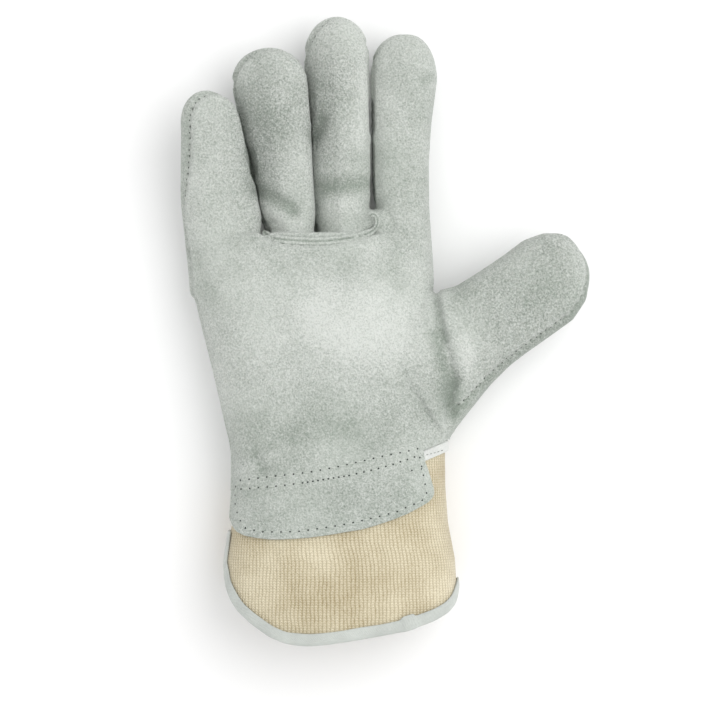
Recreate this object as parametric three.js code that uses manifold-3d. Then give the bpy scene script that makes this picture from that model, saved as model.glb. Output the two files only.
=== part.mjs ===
// Leather work glove, right hand, lying on its back with the palm up.
// Millimetres. +X to the thumb side, +Y to the fingertips, +Z up from the floor.
import * as THREE from 'three';
import { mergeVertices } from 'three/addons/utils/BufferGeometryUtils.js';
import Module from 'manifold-3d';

const wasm = await Module();
wasm.setup();

// Walls and clearances.
const LEATHER = 1.4;
const CANVAS = 1.1;
const TAPE = 1.0;
const SEAM_GAP = 0.3;
const FINGER_GAP = 0.8;
const WELT_RISE = 0.7;
const WELT_WIDTH = 1.8;

// Hand. The axis is the line up the middle of the wrist.
const AXIS_X = -18.6;
const WRIST_Y = -60;
const WRIST_WIDTH = 94;
const PALM_LENGTH = 102;
const PALM_WIDTH = 103;
const PALM_DEPTH = 44;

// Fingers: length from the foot inside the palm, greatest width, depth, and
// how high the middle of the tip is carried above the middle of the foot.
const FINGER_DEPTH = 25;
const FINGER_FOOT_HEIGHT = 18.5;
const LITTLE_LENGTH = 67.7;
const LITTLE_WIDTH = 33;
const LITTLE_RISE = 15;
const RING_LENGTH = 86.4;
const RING_WIDTH = 34;
const RING_RISE = 9.5;
const MIDDLE_LENGTH = 99.6;
const MIDDLE_WIDTH = 33;
const MIDDLE_RISE = 4.5;
const INDEX_LENGTH = 92.7;
const INDEX_WIDTH = 33;
const INDEX_RISE = 0.5;
const FINGER_LEAN = 0.24;
const FOURCHETTE_WIDTH = 13;

// Thumb, set in at the side of the palm.
const THUMB_LENGTH = 83;
const THUMB_WIDTH = 39.5;
const THUMB_DEPTH = 28;
const THUMB_ANGLE = 32;
const THUMB_HEIGHT = 24;
const THUMB_RISE = 4;

// Cuff, from the wrist seam to the rim.
const CUFF_LENGTH = 74;
const CUFF_WIDTH = 105;
const CUFF_DEPTH = 52;
const SLIT_HALF_GAP = 3.2;
const PATCH_LENGTH = 22;
const BINDING_LEG = 5;
const BINDING_WALL = 1.0;
const TAPE_WIDTH = 5;

const RING_POINTS = 12;
const PALM_POINTS = 24;
const ROUNDNESS = 2.3;

const PALETTE = {
  leather: new THREE.MeshStandardMaterial({ color: '#c6cbc4', roughness: 0.95, metalness: 0 }),
  canvas: new THREE.MeshStandardMaterial({ color: '#cfc6a8', roughness: 0.95, metalness: 0 }),
  binding: new THREE.MeshStandardMaterial({ color: '#cdd2cc', roughness: 0.85, metalness: 0 }),
  tape: new THREE.MeshStandardMaterial({ color: '#e2e4e0', roughness: 0.8, metalness: 0 }),
};

// A straight-line reading of a table: the value of one column at a place along it.
function readTable(rows, column, place) {
  if (place <= rows[0].at) return rows[0][column];
  for (let i = 1; i < rows.length; i += 1) {
    const low = rows[i - 1];
    const high = rows[i];
    if (place <= high.at) {
      const share = (place - low.at) / (high.at - low.at);
      return THREE.MathUtils.lerp(low[column], high[column], share);
    }
  }
  return rows[rows.length - 1][column];
}

// Makes a solid from a closed geometry.
function solidOf(geometry) {
  const bare = geometry.clone();
  bare.deleteAttribute('normal');
  bare.deleteAttribute('uv');
  const merged = mergeVertices(bare, 1e-4);
  const mesh = new wasm.Mesh({
    numProp: 3,
    vertProperties: new Float32Array(merged.attributes.position.array),
    triVerts: new Uint32Array(merged.index.array),
  });
  const solid = new wasm.Manifold(mesh);
  if (solid.volume() >= 0) return solid;
  const flipped = new Uint32Array(merged.index.array);
  for (let i = 0; i < flipped.length; i += 3) {
    [flipped[i], flipped[i + 1]] = [flipped[i + 1], flipped[i]];
  }
  mesh.triVerts = flipped;
  return new wasm.Manifold(mesh);
}

// A geometry from a list of points and the corners of its triangles.
function geometryOf(points, index) {
  const geometry = new THREE.BufferGeometry();
  const array = new Float32Array(points.flatMap((p) => [p.x, p.y, p.z]));
  geometry.setAttribute('position', new THREE.BufferAttribute(array, 3));
  geometry.setIndex(index);
  return geometry;
}

// Joins rings of points, each with as many points, into one closed body.
// The caps are filled from the outline of the first ring, laid flat.
function loft(rings, outline) {
  const count = rings[0].length;
  const points = rings.flat();
  const index = [];
  for (let r = 0; r + 1 < rings.length; r += 1) {
    for (let i = 0; i < count; i += 1) {
      const a = r * count + i;
      const b = r * count + ((i + 1) % count);
      index.push(a, b, a + count);
      index.push(b, b + count, a + count);
    }
  }
  const circle = (i) => {
    const angle = (2 * Math.PI * i) / count;
    return new THREE.Vector2(Math.cos(angle), Math.sin(angle));
  };
  const flat = outline ?? Array.from({ length: count }, (_, i) => circle(i));
  const caps = THREE.ShapeUtils.triangulateShape(flat, []);
  const last = (rings.length - 1) * count;
  for (const [a, b, c] of caps) {
    index.push(a, c, b);
    index.push(last + a, last + b, last + c);
  }
  return solidOf(geometryOf(points, index));
}

const power = (value) => Math.sign(value) * Math.abs(value) ** (2 / ROUNDNESS);

// One rounded section: a centre, its half width along a level direction and its half depth.
function section(centre, across, halfWidth, halfDepth, count) {
  const ring = [];
  for (let i = 0; i < count; i += 1) {
    const angle = (2 * Math.PI * i) / count;
    const sideways = halfWidth * power(Math.cos(angle));
    const up = halfDepth * power(Math.sin(angle));
    ring.push(new THREE.Vector3(
      centre.x + across.x * sideways,
      centre.y + across.y * sideways,
      centre.z + up,
    ));
  }
  return ring;
}

// Palm and sleeve: edges as shares of the palm width either side of the axis,
// floor and top as shares of the palm depth.
const PALM_ROWS = [
  { at: 0.118, left: 0.462, right: 0.459, floor: -0.068, top: 1.0 },
  { at: 0.284, left: 0.501, right: 0.462, floor: -0.068, top: 0.98 },
  { at: 0.51, left: 0.555, right: 0.443, floor: -0.068, top: 0.96 },
  { at: 0.735, left: 0.61, right: 0.394, floor: -0.068, top: 0.93 },
  { at: 0.931, left: 0.645, right: 0.384, floor: -0.045, top: 0.86 },
  { at: 1.03, left: 0.655, right: 0.378, floor: 0.03, top: 0.77 },
  { at: 1.1, left: 0.66, right: 0.372, floor: 0.08, top: 0.72 },
];
// Cuff: how far each row has opened from the wrist size to the rim size.
const CUFF_ROWS = [
  { at: -0.08, flare: 0 },
  { at: 0.1, flare: 0.02 },
  { at: 0.3, flare: 0.2 },
  { at: 0.52, flare: 0.72 },
  { at: 0.75, flare: 0.94 },
  { at: 1.08, flare: 1 },
];
const WRIST_TOP = 1.045 * PALM_DEPTH;
const FLOOR_SINK = 3;

// The sections of the sleeve and palm as one list of rows in millimetres.
const BODY_ROWS = [
  ...CUFF_ROWS.map(({ at, flare }) => ({
    at: WRIST_Y - at * CUFF_LENGTH,
    left: 0.5 * THREE.MathUtils.lerp(WRIST_WIDTH, CUFF_WIDTH, flare),
    right: 0.5 * THREE.MathUtils.lerp(WRIST_WIDTH, CUFF_WIDTH, flare),
    floor: -FLOOR_SINK,
    top: THREE.MathUtils.lerp(WRIST_TOP, CUFF_DEPTH, flare),
  })).reverse(),
  ...PALM_ROWS.map(({ at, left, right, floor, top }) => ({
    at: WRIST_Y + at * PALM_LENGTH,
    left: left * PALM_WIDTH,
    right: right * PALM_WIDTH,
    floor: floor * PALM_DEPTH,
    top: top * PALM_DEPTH,
  })),
];

// One section of the sleeve or palm, made smaller all round by an inset.
function bodySection(y, inset, count) {
  const left = AXIS_X - readTable(BODY_ROWS, 'left', y) + inset;
  const right = AXIS_X + readTable(BODY_ROWS, 'right', y) - inset;
  const floor = readTable(BODY_ROWS, 'floor', y) + inset;
  const top = readTable(BODY_ROWS, 'top', y) - inset;
  const centre = new THREE.Vector3((left + right) / 2, y, (floor + top) / 2);
  return section(centre, new THREE.Vector2(1, 0), (right - left) / 2, (top - floor) / 2, count);
}

// Fingers: where the foot stands as a share of the palm width from the axis,
// the turn from straight ahead, and rows of edges as shares of the finger width.
const FOOT_Y = WRIST_Y + 0.931 * PALM_LENGTH;
const FINGERS = {
  little: {
    foot: -0.484, turn: 5.9, length: LITTLE_LENGTH, width: LITTLE_WIDTH, rise: LITTLE_RISE,
    seam: 7,
    rows: [
      { at: 0, left: 0.5, right: 0.52, depth: 1.04 },
      { at: 0.27, left: 0.5, right: 0.5, depth: 1 },
      { at: 0.53, left: 0.462, right: 0.455, depth: 0.95 },
      { at: 0.76, left: 0.4, right: 0.395, depth: 0.86 },
    ],
  },
  ring: {
    foot: -0.217, turn: 5, length: RING_LENGTH, width: RING_WIDTH, rise: RING_RISE,
    seam: 4,
    rows: [
      { at: 0, left: 0.4, right: 0.37, depth: 1 },
      { at: 0.3, left: 0.42, right: 0.42, depth: 1 },
      { at: 0.43, left: 0.465, right: 0.455, depth: 1.02 },
      { at: 0.69, left: 0.5, right: 0.485, depth: 1 },
      { at: 0.79, left: 0.5, right: 0.495, depth: 0.96 },
    ],
  },
  middle: {
    foot: 0.013, turn: 0.9, length: MIDDLE_LENGTH, width: MIDDLE_WIDTH, rise: MIDDLE_RISE,
    seam: 4,
    rows: [
      { at: 0, left: 0.385, right: 0.385, depth: 1 },
      { at: 0.21, left: 0.4, right: 0.385, depth: 1 },
      { at: 0.37, left: 0.45, right: 0.41, depth: 1 },
      { at: 0.64, left: 0.505, right: 0.49, depth: 1 },
      { at: 0.81, left: 0.515, right: 0.49, depth: 0.96 },
    ],
  },
  index: {
    foot: 0.252, turn: 0.5, length: INDEX_LENGTH, width: INDEX_WIDTH, rise: INDEX_RISE,
    seam: -2,
    rows: [
      { at: 0, left: 0.35, right: 0.41, depth: 0.98 },
      { at: 0.2, left: 0.385, right: 0.375, depth: 0.98 },
      { at: 0.4, left: 0.455, right: 0.38, depth: 0.98 },
      { at: 0.6, left: 0.475, right: 0.42, depth: 0.98 },
      { at: 0.78, left: 0.505, right: 0.49, depth: 0.95 },
    ],
  },
};
const FINGER_ORDER = ['little', 'ring', 'middle', 'index'];
const TIP_STEPS = 4;
const TIP_ROUNDNESS = 2.2;

for (const finger of Object.values(FINGERS)) {
  const radians = THREE.MathUtils.degToRad(finger.turn);
  finger.ahead = new THREE.Vector2(-Math.sin(radians), Math.cos(radians));
  finger.across = new THREE.Vector2(Math.cos(radians), Math.sin(radians));
  finger.root = new THREE.Vector2(AXIS_X + finger.foot * PALM_WIDTH, FOOT_Y);
}

// Height of the middle of a finger at a share of its length: it curls up slightly more at the tip.
function fingerHeight(finger, share) {
  return FINGER_FOOT_HEIGHT + finger.rise * Math.max(share, 0) ** 1.2;
}

// The hollow needs fewer corners than the outside.
const ringPoints = (inset) => (inset > 0 ? RING_POINTS - 2 : RING_POINTS);

function fingerRing(finger, share, inset) {
  const rows = finger.rows;
  const left = readTable(rows, 'left', share) * finger.width - inset;
  const right = readTable(rows, 'right', share) * finger.width - inset;
  const halfDepth = 0.5 * readTable(rows, 'depth', share) * FINGER_DEPTH - inset;
  const middle = (right - left) / 2;
  const centre = new THREE.Vector3(
    finger.root.x + finger.ahead.x * share * finger.length + finger.across.x * middle,
    finger.root.y + finger.ahead.y * share * finger.length + finger.across.y * middle,
    fingerHeight(finger, share),
  );
  return section(centre, finger.across, (left + right) / 2, halfDepth, ringPoints(inset));
}

// A finger, made smaller all round by an inset, with a domed tip.
function fingerSolid(finger, inset) {
  const last = finger.rows[finger.rows.length - 1].at;
  const end = 1 - inset / finger.length;
  const rings = [-0.12, ...finger.rows.map((row) => row.at)]
    .map((share) => fingerRing(finger, share, inset));
  for (let step = 1; step <= TIP_STEPS; step += 1) {
    const reach = Math.sin((step / TIP_STEPS) * 0.485 * Math.PI);
    const scale = (1 - reach ** TIP_ROUNDNESS) ** (1 / TIP_ROUNDNESS);
    const share = last + (end - last) * reach;
    const left = readTable(finger.rows, 'left', last) * finger.width - inset;
    const right = readTable(finger.rows, 'right', last) * finger.width - inset;
    const halfDepth = 0.5 * readTable(finger.rows, 'depth', last) * FINGER_DEPTH - inset;
    const middle = ((right - left) / 2) * scale;
    const centre = new THREE.Vector3(
      finger.root.x + finger.ahead.x * share * finger.length + finger.across.x * middle,
      finger.root.y + finger.ahead.y * share * finger.length + finger.across.y * middle,
      fingerHeight(finger, share),
    );
    rings.push(section(
      centre, finger.across, ((left + right) / 2) * scale, halfDepth * scale, ringPoints(inset),
    ));
  }
  return loft(rings);
}

// Thumb: edges above and below its axis as shares of its width.
const THUMB_ROWS = [
  { at: -0.1, above: 0.64, below: 0.86, depth: 1.12 },
  { at: 0.06, above: 0.63, below: 0.735, depth: 1.1 },
  { at: 0.25, above: 0.575, below: 0.595, depth: 1.06 },
  { at: 0.36, above: 0.5, below: 0.547, depth: 1.02 },
  { at: 0.51, above: 0.504, below: 0.509, depth: 1 },
  { at: 0.65, above: 0.514, below: 0.496, depth: 0.98 },
  { at: 0.78, above: 0.535, below: 0.475, depth: 0.94 },
  { at: 0.885, above: 0.496, below: 0.372, depth: 0.82 },
  { at: 0.957, above: 0.4, below: 0.2, depth: 0.6 },
  { at: 0.99, above: 0.3, below: 0.07, depth: 0.35 },
];
const thumbRadians = THREE.MathUtils.degToRad(THUMB_ANGLE);
const THUMB_AHEAD = new THREE.Vector2(Math.cos(thumbRadians), Math.sin(thumbRadians));
const THUMB_ACROSS = new THREE.Vector2(-Math.sin(thumbRadians), Math.cos(thumbRadians));
const THUMB_ROOT = new THREE.Vector2(AXIS_X + 0.342 * PALM_WIDTH, WRIST_Y + 0.45 * PALM_LENGTH);

function thumbSolid(inset) {
  const length = THUMB_LENGTH - inset;
  const rings = THUMB_ROWS.map((row) => {
    const above = row.above * THUMB_WIDTH - inset;
    const below = -row.below * THUMB_WIDTH + inset;
    const halfDepth = Math.max(0.5 * row.depth * THUMB_DEPTH - inset, 1);
    const along = row.at * length;
    const middle = (above + below) / 2;
    const centre = new THREE.Vector3(
      THUMB_ROOT.x + THUMB_AHEAD.x * along + THUMB_ACROSS.x * middle,
      THUMB_ROOT.y + THUMB_AHEAD.y * along + THUMB_ACROSS.y * middle,
      THUMB_HEIGHT + THUMB_RISE * Math.max(row.at, 0),
    );
    const half = Math.max((above - below) / 2, 1);
    return section(centre, THUMB_ACROSS, half, halfDepth, ringPoints(inset) + 2);
  });
  return loft(rings);
}

// A cell between two stations or more, each a four-cornered section across the hand.
function cell(stations) {
  const square = [[0, 0], [1, 0], [1, 1], [0, 1]].map(([x, y]) => new THREE.Vector2(x, y));
  return loft(stations, square);
}

// Neighbouring fingers press together along a plane that leans about this height.
const LEAN_HEIGHT = FINGER_FOOT_HEIGHT + 0.4 * RING_RISE + 0.1 * FINGER_DEPTH;

// A corner-to-corner station at a given y, leaning sideways with height.
function station(y, leftX, rightX, low, high, lean = 0) {
  const shift = (z) => lean * (z - LEAN_HEIGHT);
  return [
    new THREE.Vector3(leftX + shift(low), y, low),
    new THREE.Vector3(rightX + shift(low), y, low),
    new THREE.Vector3(rightX + shift(high), y, high),
    new THREE.Vector3(leftX + shift(high), y, high),
  ];
}

// Dividers between neighbouring fingers: the crotch, and the sideways run to the tips,
// as shares of the palm's width and length.
const DIVIDERS = [
  { x: -0.317, crotch: 0.995, run: -0.21 },
  { x: -0.106, crotch: 0.99, run: -0.05 },
  { x: 0.136, crotch: 1.093, run: -0.02 },
];
// Limits outside the whole glove, for the bodies that cut it.
const LOW = -20;
const HIGH = 90;
const SIDE = 300;
const ALL_ROUND = [[-SIDE, -SIDE], [SIDE, -SIDE], [SIDE, SIDE], [-SIDE, SIDE]];
const FAR_Y = FOOT_Y + 1.2 * MIDDLE_LENGTH;
const crotchY = (divider) => WRIST_Y + divider.crotch * PALM_LENGTH;
const dividerX = (divider, y) => (
  AXIS_X + divider.x * PALM_WIDTH + divider.run * (y - crotchY(divider))
);

function dividerBlade(divider, thickness, start) {
  const half = thickness / 2;
  return cell([start, FAR_Y].map((y) => station(
    y, dividerX(divider, y) - half, dividerX(divider, y) + half, LOW, HIGH, FINGER_LEAN,
  )));
}

// An upright prism over an outline drawn in plan.
function prism(points, low = LOW, high = HIGH) {
  const shape = new THREE.Shape(points.map(([x, y]) => new THREE.Vector2(x, y)));
  const geometry = new THREE.ExtrudeGeometry(shape, { depth: high - low, bevelEnabled: false });
  geometry.translate(0, 0, low);
  return solidOf(geometry);
}

// The leather is cut off at the wrist seam from a body that starts well below it.
const LEATHER_FOOT_Y = WRIST_Y - 0.4 * CUFF_LENGTH;

// The whole hand as one body, closed, smaller all round by an inset.
function handBody(inset, bladeThickness) {
  const rows = BODY_ROWS.map((row) => row.at).filter((y) => y > LEATHER_FOOT_Y);
  rows[rows.length - 1] -= inset;
  let body = loft(rows.map((y) => bodySection(y, inset, PALM_POINTS)));
  for (const name of FINGER_ORDER) body = body.add(fingerSolid(FINGERS[name], inset));
  for (const divider of DIVIDERS) {
    body = body.subtract(dividerBlade(divider, bladeThickness, crotchY(divider) - inset));
  }
  body = body.add(thumbSolid(inset));
  const floorLevel = inset;
  return body.subtract(prism(ALL_ROUND, LOW, floorLevel));
}

const outerHand = handBody(0, FINGER_GAP);
const innerHand = handBody(LEATHER, FINGER_GAP + 2 * LEATHER);
const proudHand = handBody(-WELT_RISE, FINGER_GAP);

// The wrist seam runs up towards the thumb: y as a share of the palm length from the wrist.
const WRIST_SEAM = [
  { at: -0.6, rise: -0.1 },
  { at: -0.45, rise: -0.086 },
  { at: -0.2, rise: -0.055 },
  { at: 0, rise: -0.015 },
  { at: 0.2, rise: 0.025 },
  { at: 0.31, rise: 0.058 },
  { at: 0.47, rise: 0.115 },
  { at: 0.6, rise: 0.16 },
];
const seamPoint = (row, shift) => [
  AXIS_X + row.at * WRIST_WIDTH,
  WRIST_Y + row.rise * PALM_LENGTH + shift,
];
const wristY = (x) => (
  WRIST_Y + readTable(WRIST_SEAM, 'rise', (x - AXIS_X) / WRIST_WIDTH) * PALM_LENGTH
);
const aboveWrist = prism([
  ...WRIST_SEAM.map((row) => seamPoint(row, SEAM_GAP / 2)), [SIDE, 0], [SIDE, SIDE], [-SIDE, SIDE],
  [-SIDE, WRIST_Y],
]);

// The thumb is set in along a line down the side of the palm.
const THUMB_SEAM = [
  { across: 0.393, along: 0.78 },
  { across: 0.397, along: 0.71 },
  { across: 0.41, along: 0.63 },
  { across: 0.43, along: 0.55 },
  { across: 0.455, along: 0.455 },
  { across: 0.475, along: 0.39 },
  { across: 0.455, along: 0.3 },
  { across: 0.445, along: 0.05 },
];
function thumbZone(shift) {
  const seam = THUMB_SEAM.map(({ across, along }) => [
    AXIS_X + across * PALM_WIDTH + shift,
    WRIST_Y + along * PALM_LENGTH,
  ]);
  const [topX] = seam[0];
  const [footX] = seam[seam.length - 1];
  return prism([...seam.reverse(), [topX, SIDE], [SIDE, SIDE], [SIDE, -SIDE], [footX, -SIDE]]);
}

// Base seam under the two middle fingers.
const BASE_SEAM = [
  { across: -0.317, along: 0.998 },
  { across: -0.29, along: 0.974 },
  { across: -0.235, along: 0.964 },
  { across: -0.1, along: 0.958 },
  { across: 0.037, along: 0.972 },
  { across: 0.096, along: 0.983 },
  { across: 0.136, along: 1.0 },
];
const baseSeamLine = (shift) => BASE_SEAM.map(({ across, along }) => [
  AXIS_X + across * PALM_WIDTH,
  WRIST_Y + along * PALM_LENGTH + shift,
]);
const baseSeamBand = (low, high) => prism(
  [...baseSeamLine(low), ...baseSeamLine(high).reverse()], FINGER_FOOT_HEIGHT, HIGH,
);
function beyondBaseSeam(shift) {
  const line = baseSeamLine(shift);
  const startY = line[0][1];
  const endY = line[line.length - 1][1];
  return prism([...line, [SIDE, endY], [SIDE, SIDE], [-SIDE, SIDE], [-SIDE, startY]]);
}

// Heights at which the side seams run, along the palm.
const PALM_SEAM_LEFT = 0.52 * PALM_DEPTH;
const PALM_SEAM_RIGHT = FINGER_FOOT_HEIGHT + FINGERS.index.seam;

// The share of a finger's length at a place up the hand.
const shareAt = (finger, y) => (y - FOOT_Y) / (finger.length * finger.ahead.y);

// Stations along a finger: each gives the sideways limits and the heights there.
const ZONE_SHARES = [-0.06, 0.3, 0.65, 1.15];
function fingerCell(order, startY, limits, heights) {
  const finger = FINGERS[FINGER_ORDER[order]];
  const places = ZONE_SHARES.map((share) => FOOT_Y + share * finger.length);
  const kept = [startY, ...places.filter((y) => y > startY + 1)];
  return cell(kept.map((y) => {
    const [low, high] = heights(finger, y);
    const [left, right] = limits(finger, y);
    return station(y, left, right, low, high, FINGER_LEAN);
  }));
}
const OVERLAP = 1;

// Sideways limits of a finger's own zone, from one divider to the next, widened by margins.
function zoneLimits(order, leftMargin, rightMargin = leftMargin) {
  return (finger, y) => [
    order > 0 ? dividerX(DIVIDERS[order - 1], y) - leftMargin : -SIDE,
    order < 3 ? dividerX(DIVIDERS[order], y) + rightMargin : SIDE,
  ];
}
function seamHeight(finger, y) {
  const middle = fingerHeight(finger, shareAt(finger, y));
  const blend = THREE.MathUtils.smoothstep(shareAt(finger, y), 0, 0.3);
  const foot = finger.foot < 0 ? PALM_SEAM_LEFT : PALM_SEAM_RIGHT;
  return THREE.MathUtils.lerp(foot, middle + finger.seam, blend);
}
const frontHeights = (finger, y) => [seamHeight(finger, y) + SEAM_GAP / 2, HIGH];
const backHeights = (finger, y) => [LOW, seamHeight(finger, y) - SEAM_GAP / 2];

// A fourchette fills both facing sides of a gap between fingers, up to a share of each length.
const FOURCHETTE_REACH = 0.84;
function fourchetteBand(order, margin) {
  const divider = DIVIDERS[order];
  const parts = [order, order + 1].map((side) => {
    const finger = FINGERS[FINGER_ORDER[side]];
    const start = crotchY(divider) - 2 * LEATHER - margin;
    const end = FOOT_Y + FOURCHETTE_REACH * finger.length * finger.ahead.y + margin;
    const half = FOURCHETTE_WIDTH / 2;
    const stations = [0, 0.4, 0.9, 1].map((share) => {
      const y = THREE.MathUtils.lerp(start, end, share);
      const middle = fingerHeight(finger, shareAt(finger, y));
      const taper = share < 0.9 ? 1 : THREE.MathUtils.lerp(1, 0.35, (share - 0.9) / 0.1);
      const edge = dividerX(divider, y);
      const centre = finger.root.x + finger.ahead.x * shareAt(finger, y) * finger.length;
      const limits = side === order ? [centre, edge + 0.01] : [edge - 0.01, centre];
      return station(
        y, limits[0], limits[1], middle - half * taper - margin, middle + half * taper + margin,
      );
    });
    return cell(stations);
  });
  return parts[0].add(parts[1]);
}

const shell = outerHand.subtract(innerHand).intersect(aboveWrist);
const fourchetteCuts = DIVIDERS.map((divider, order) => fourchetteBand(order, SEAM_GAP / 2));
const thumbCut = thumbZone(-SEAM_GAP / 2);
const footStart = FOOT_Y - 0.06 * MIDDLE_LENGTH;

// Palm zone halves, below the feet of the fingers.
function palmHalf(left, right, low, high) {
  return cell([
    station(WRIST_Y - 60, left, right, low, high),
    station(footStart + OVERLAP, left, right, low, high),
  ]);
}
const splitX = AXIS_X - 0.1 * PALM_WIDTH;
const palmFrontZone = palmHalf(-SIDE, splitX + OVERLAP, PALM_SEAM_LEFT + SEAM_GAP / 2, HIGH)
  .add(palmHalf(splitX, SIDE, PALM_SEAM_RIGHT + SEAM_GAP / 2, HIGH));
const palmBackZone = palmHalf(-SIDE, splitX + OVERLAP, LOW, PALM_SEAM_LEFT - SEAM_GAP / 2)
  .add(palmHalf(splitX, SIDE, LOW, PALM_SEAM_RIGHT - SEAM_GAP / 2));

const ZONE_MARGIN = 0.35 * FINGER_GAP;
const fronts = FINGER_ORDER.map((name, order) => (
  fingerCell(order, footStart, zoneLimits(order, ZONE_MARGIN), frontHeights)
));
const backs = FINGER_ORDER.map((name, order) => (
  fingerCell(order, footStart, zoneLimits(order, ZONE_MARGIN), backHeights)
));

function withoutFourchettes(solid) {
  let kept = solid;
  for (const cut of fourchetteCuts) kept = kept.subtract(cut);
  return kept;
}

// The set-in fronts stand beyond the base seam, in the zones of the two middle fingers.
const weltHalf = WELT_WIDTH / 2;
const setInZone = fronts[1].add(fronts[2]).intersect(beyondBaseSeam(-weltHalf - SEAM_GAP));
const palmPanel = withoutFourchettes(
  shell.intersect(palmFrontZone.add(fronts[0]).add(fronts[1]).add(fronts[2]).add(fronts[3])),
).subtract(thumbCut).subtract(setInZone);

function setInFront(order) {
  const zone = fingerCell(order, footStart, zoneLimits(order, -SEAM_GAP / 2), frontHeights);
  return withoutFourchettes(shell.intersect(zone))
    .intersect(beyondBaseSeam(weltHalf + SEAM_GAP));
}

const weltZone = fingerCell(1, footStart, zoneLimits(1, -SEAM_GAP, OVERLAP), frontHeights)
  .add(fingerCell(2, footStart, zoneLimits(2, OVERLAP, -SEAM_GAP), frontHeights));
const baseWelt = proudHand.subtract(innerHand).intersect(baseSeamBand(-weltHalf, weltHalf))
  .intersect(weltZone).subtract(fourchetteBand(0, SEAM_GAP)).subtract(fourchetteBand(2, SEAM_GAP));

const backPanel = withoutFourchettes(
  shell.intersect(palmBackZone.add(backs[0]).add(backs[1]).add(backs[2]).add(backs[3])),
).subtract(thumbCut);

const fourchettes = DIVIDERS.map((divider, order) => (
  shell.intersect(fourchetteBand(order, -SEAM_GAP / 2))
));

// The thumb's side seam shows on its lower edge and lies underneath on its upper edge.
const THUMB_SEAM_RISE = 2;
const THUMB_SEAM_TILT = 0.3;
function thumbHalf(gap, towards) {
  const reach = 2.2 * THUMB_WIDTH;
  const climb = THUMB_SEAM_TILT * reach;
  const rings = [-THUMB_LENGTH, 2 * THUMB_LENGTH].map((along) => {
    const middle = THUMB_HEIGHT + THUMB_SEAM_RISE + gap;
    return [[-reach, middle + climb], [reach, middle - climb],
      [reach, towards], [-reach, towards]].map(([across, z]) => new THREE.Vector3(
      THUMB_ROOT.x + THUMB_AHEAD.x * along + THUMB_ACROSS.x * across,
      THUMB_ROOT.y + THUMB_AHEAD.y * along + THUMB_ACROSS.y * across,
      z,
    ));
  });
  return cell(rings);
}
const thumbShell = shell.intersect(thumbZone(SEAM_GAP / 2));
const thumbFront = thumbShell.intersect(thumbHalf(SEAM_GAP / 2, HIGH));
const thumbBack = thumbShell.intersect(thumbHalf(-SEAM_GAP / 2, LOW));

// Cuff. The rim dips at the middle of the palm side and turns up to the slit and the thumb side.
// The place round the cuff is an angle: 180 at the slit, 90 on the palm side, 0 at the thumb side.
const RIM_ROWS = [
  { at: -180, drop: 0.5 },
  { at: -172, drop: 0.62 },
  { at: -160, drop: 0.74 },
  { at: -135, drop: 0.83 },
  { at: -90, drop: 0.86 },
  { at: -45, drop: 0.81 },
  { at: 0, drop: 0.7 },
  { at: 12, drop: 0.76 },
  { at: 27, drop: 0.83 },
  { at: 45, drop: 0.88 },
  { at: 65, drop: 0.93 },
  { at: 90, drop: 0.985 },
  { at: 108, drop: 1 },
  { at: 125, drop: 0.965 },
  { at: 140, drop: 0.89 },
  { at: 152, drop: 0.81 },
  { at: 163, drop: 0.72 },
  { at: 172, drop: 0.6 },
  { at: 180, drop: 0.5 },
];
const rimY = (angle) => WRIST_Y - readTable(RIM_ROWS, 'drop', angle) * CUFF_LENGTH;
const SLIT_TOP = WRIST_Y - 0.36 * CUFF_LENGTH;

// A point on the facets of the sleeve, in from its outer surface by an inset.
function sleevePoint(angle, y, inset) {
  const ring = bodySection(y, inset, PALM_POINTS);
  const place = ((angle / 360) * PALM_POINTS + PALM_POINTS) % PALM_POINTS;
  const corner = Math.floor(place);
  const next = ring[(corner + 1) % PALM_POINTS];
  const point = ring[corner].clone().lerp(next, place - corner);
  point.z = Math.max(point.z, inset, 0);
  return point;
}

// Half the opening of the slit at a height, as an angle round the cuff.
function slitHalfAngle(y) {
  const open = THREE.MathUtils.smoothstep(SLIT_TOP - y, 0, 0.2 * CUFF_LENGTH);
  const halfGap = THREE.MathUtils.lerp(BINDING_WALL + 2 * SEAM_GAP, SLIT_HALF_GAP, open);
  return THREE.MathUtils.radToDeg(halfGap / (0.5 * CUFF_DEPTH));
}

// Columns round the cuff stand on the sleeve's corners, with one more between on the palm side.
const CORNER_TURN = 360 / PALM_POINTS;
const COLUMNS = [];
for (let angle = 180 - CORNER_TURN; angle > CORNER_TURN - 180; angle -= CORNER_TURN) {
  COLUMNS.push(angle);
  if (angle > 0) COLUMNS.push(angle - CORNER_TURN / 2);
}
COLUMNS.push(CORNER_TURN - 180);
const LAP = 5;
const canvasOuter = LEATHER + SEAM_GAP;
const canvasInner = canvasOuter + CANVAS;
const FOLD = BINDING_WALL + SEAM_GAP;
const LEG_GAP = 0.8;

// How far a degree round the sleeve carries along its surface.
const arcPerDegree = (angle, y) => (
  sleevePoint(angle - 4, y, 0).distanceTo(sleevePoint(angle + 4, y, 0)) / 8
);

// The foot of the canvas stands clear of the fold of the binding.
function canvasFoot(angle) {
  const slope = (rimY(angle + 2) - rimY(angle - 2)) / (4 * arcPerDegree(angle, rimY(angle)));
  return rimY(angle) + 1.15 * FOLD * Math.hypot(1, slope);
}

// The canvas bends where the sleeve's own sections stand.
const CANVAS_BREAKS = BODY_ROWS.map((row) => row.at)
  .filter((y) => y < WRIST_Y + 0.13 * PALM_LENGTH && y > WRIST_Y - 0.6 * CUFF_LENGTH)
  .reverse();
const CANVAS_ROWS = CANVAS_BREAKS.length + 1;

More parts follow.
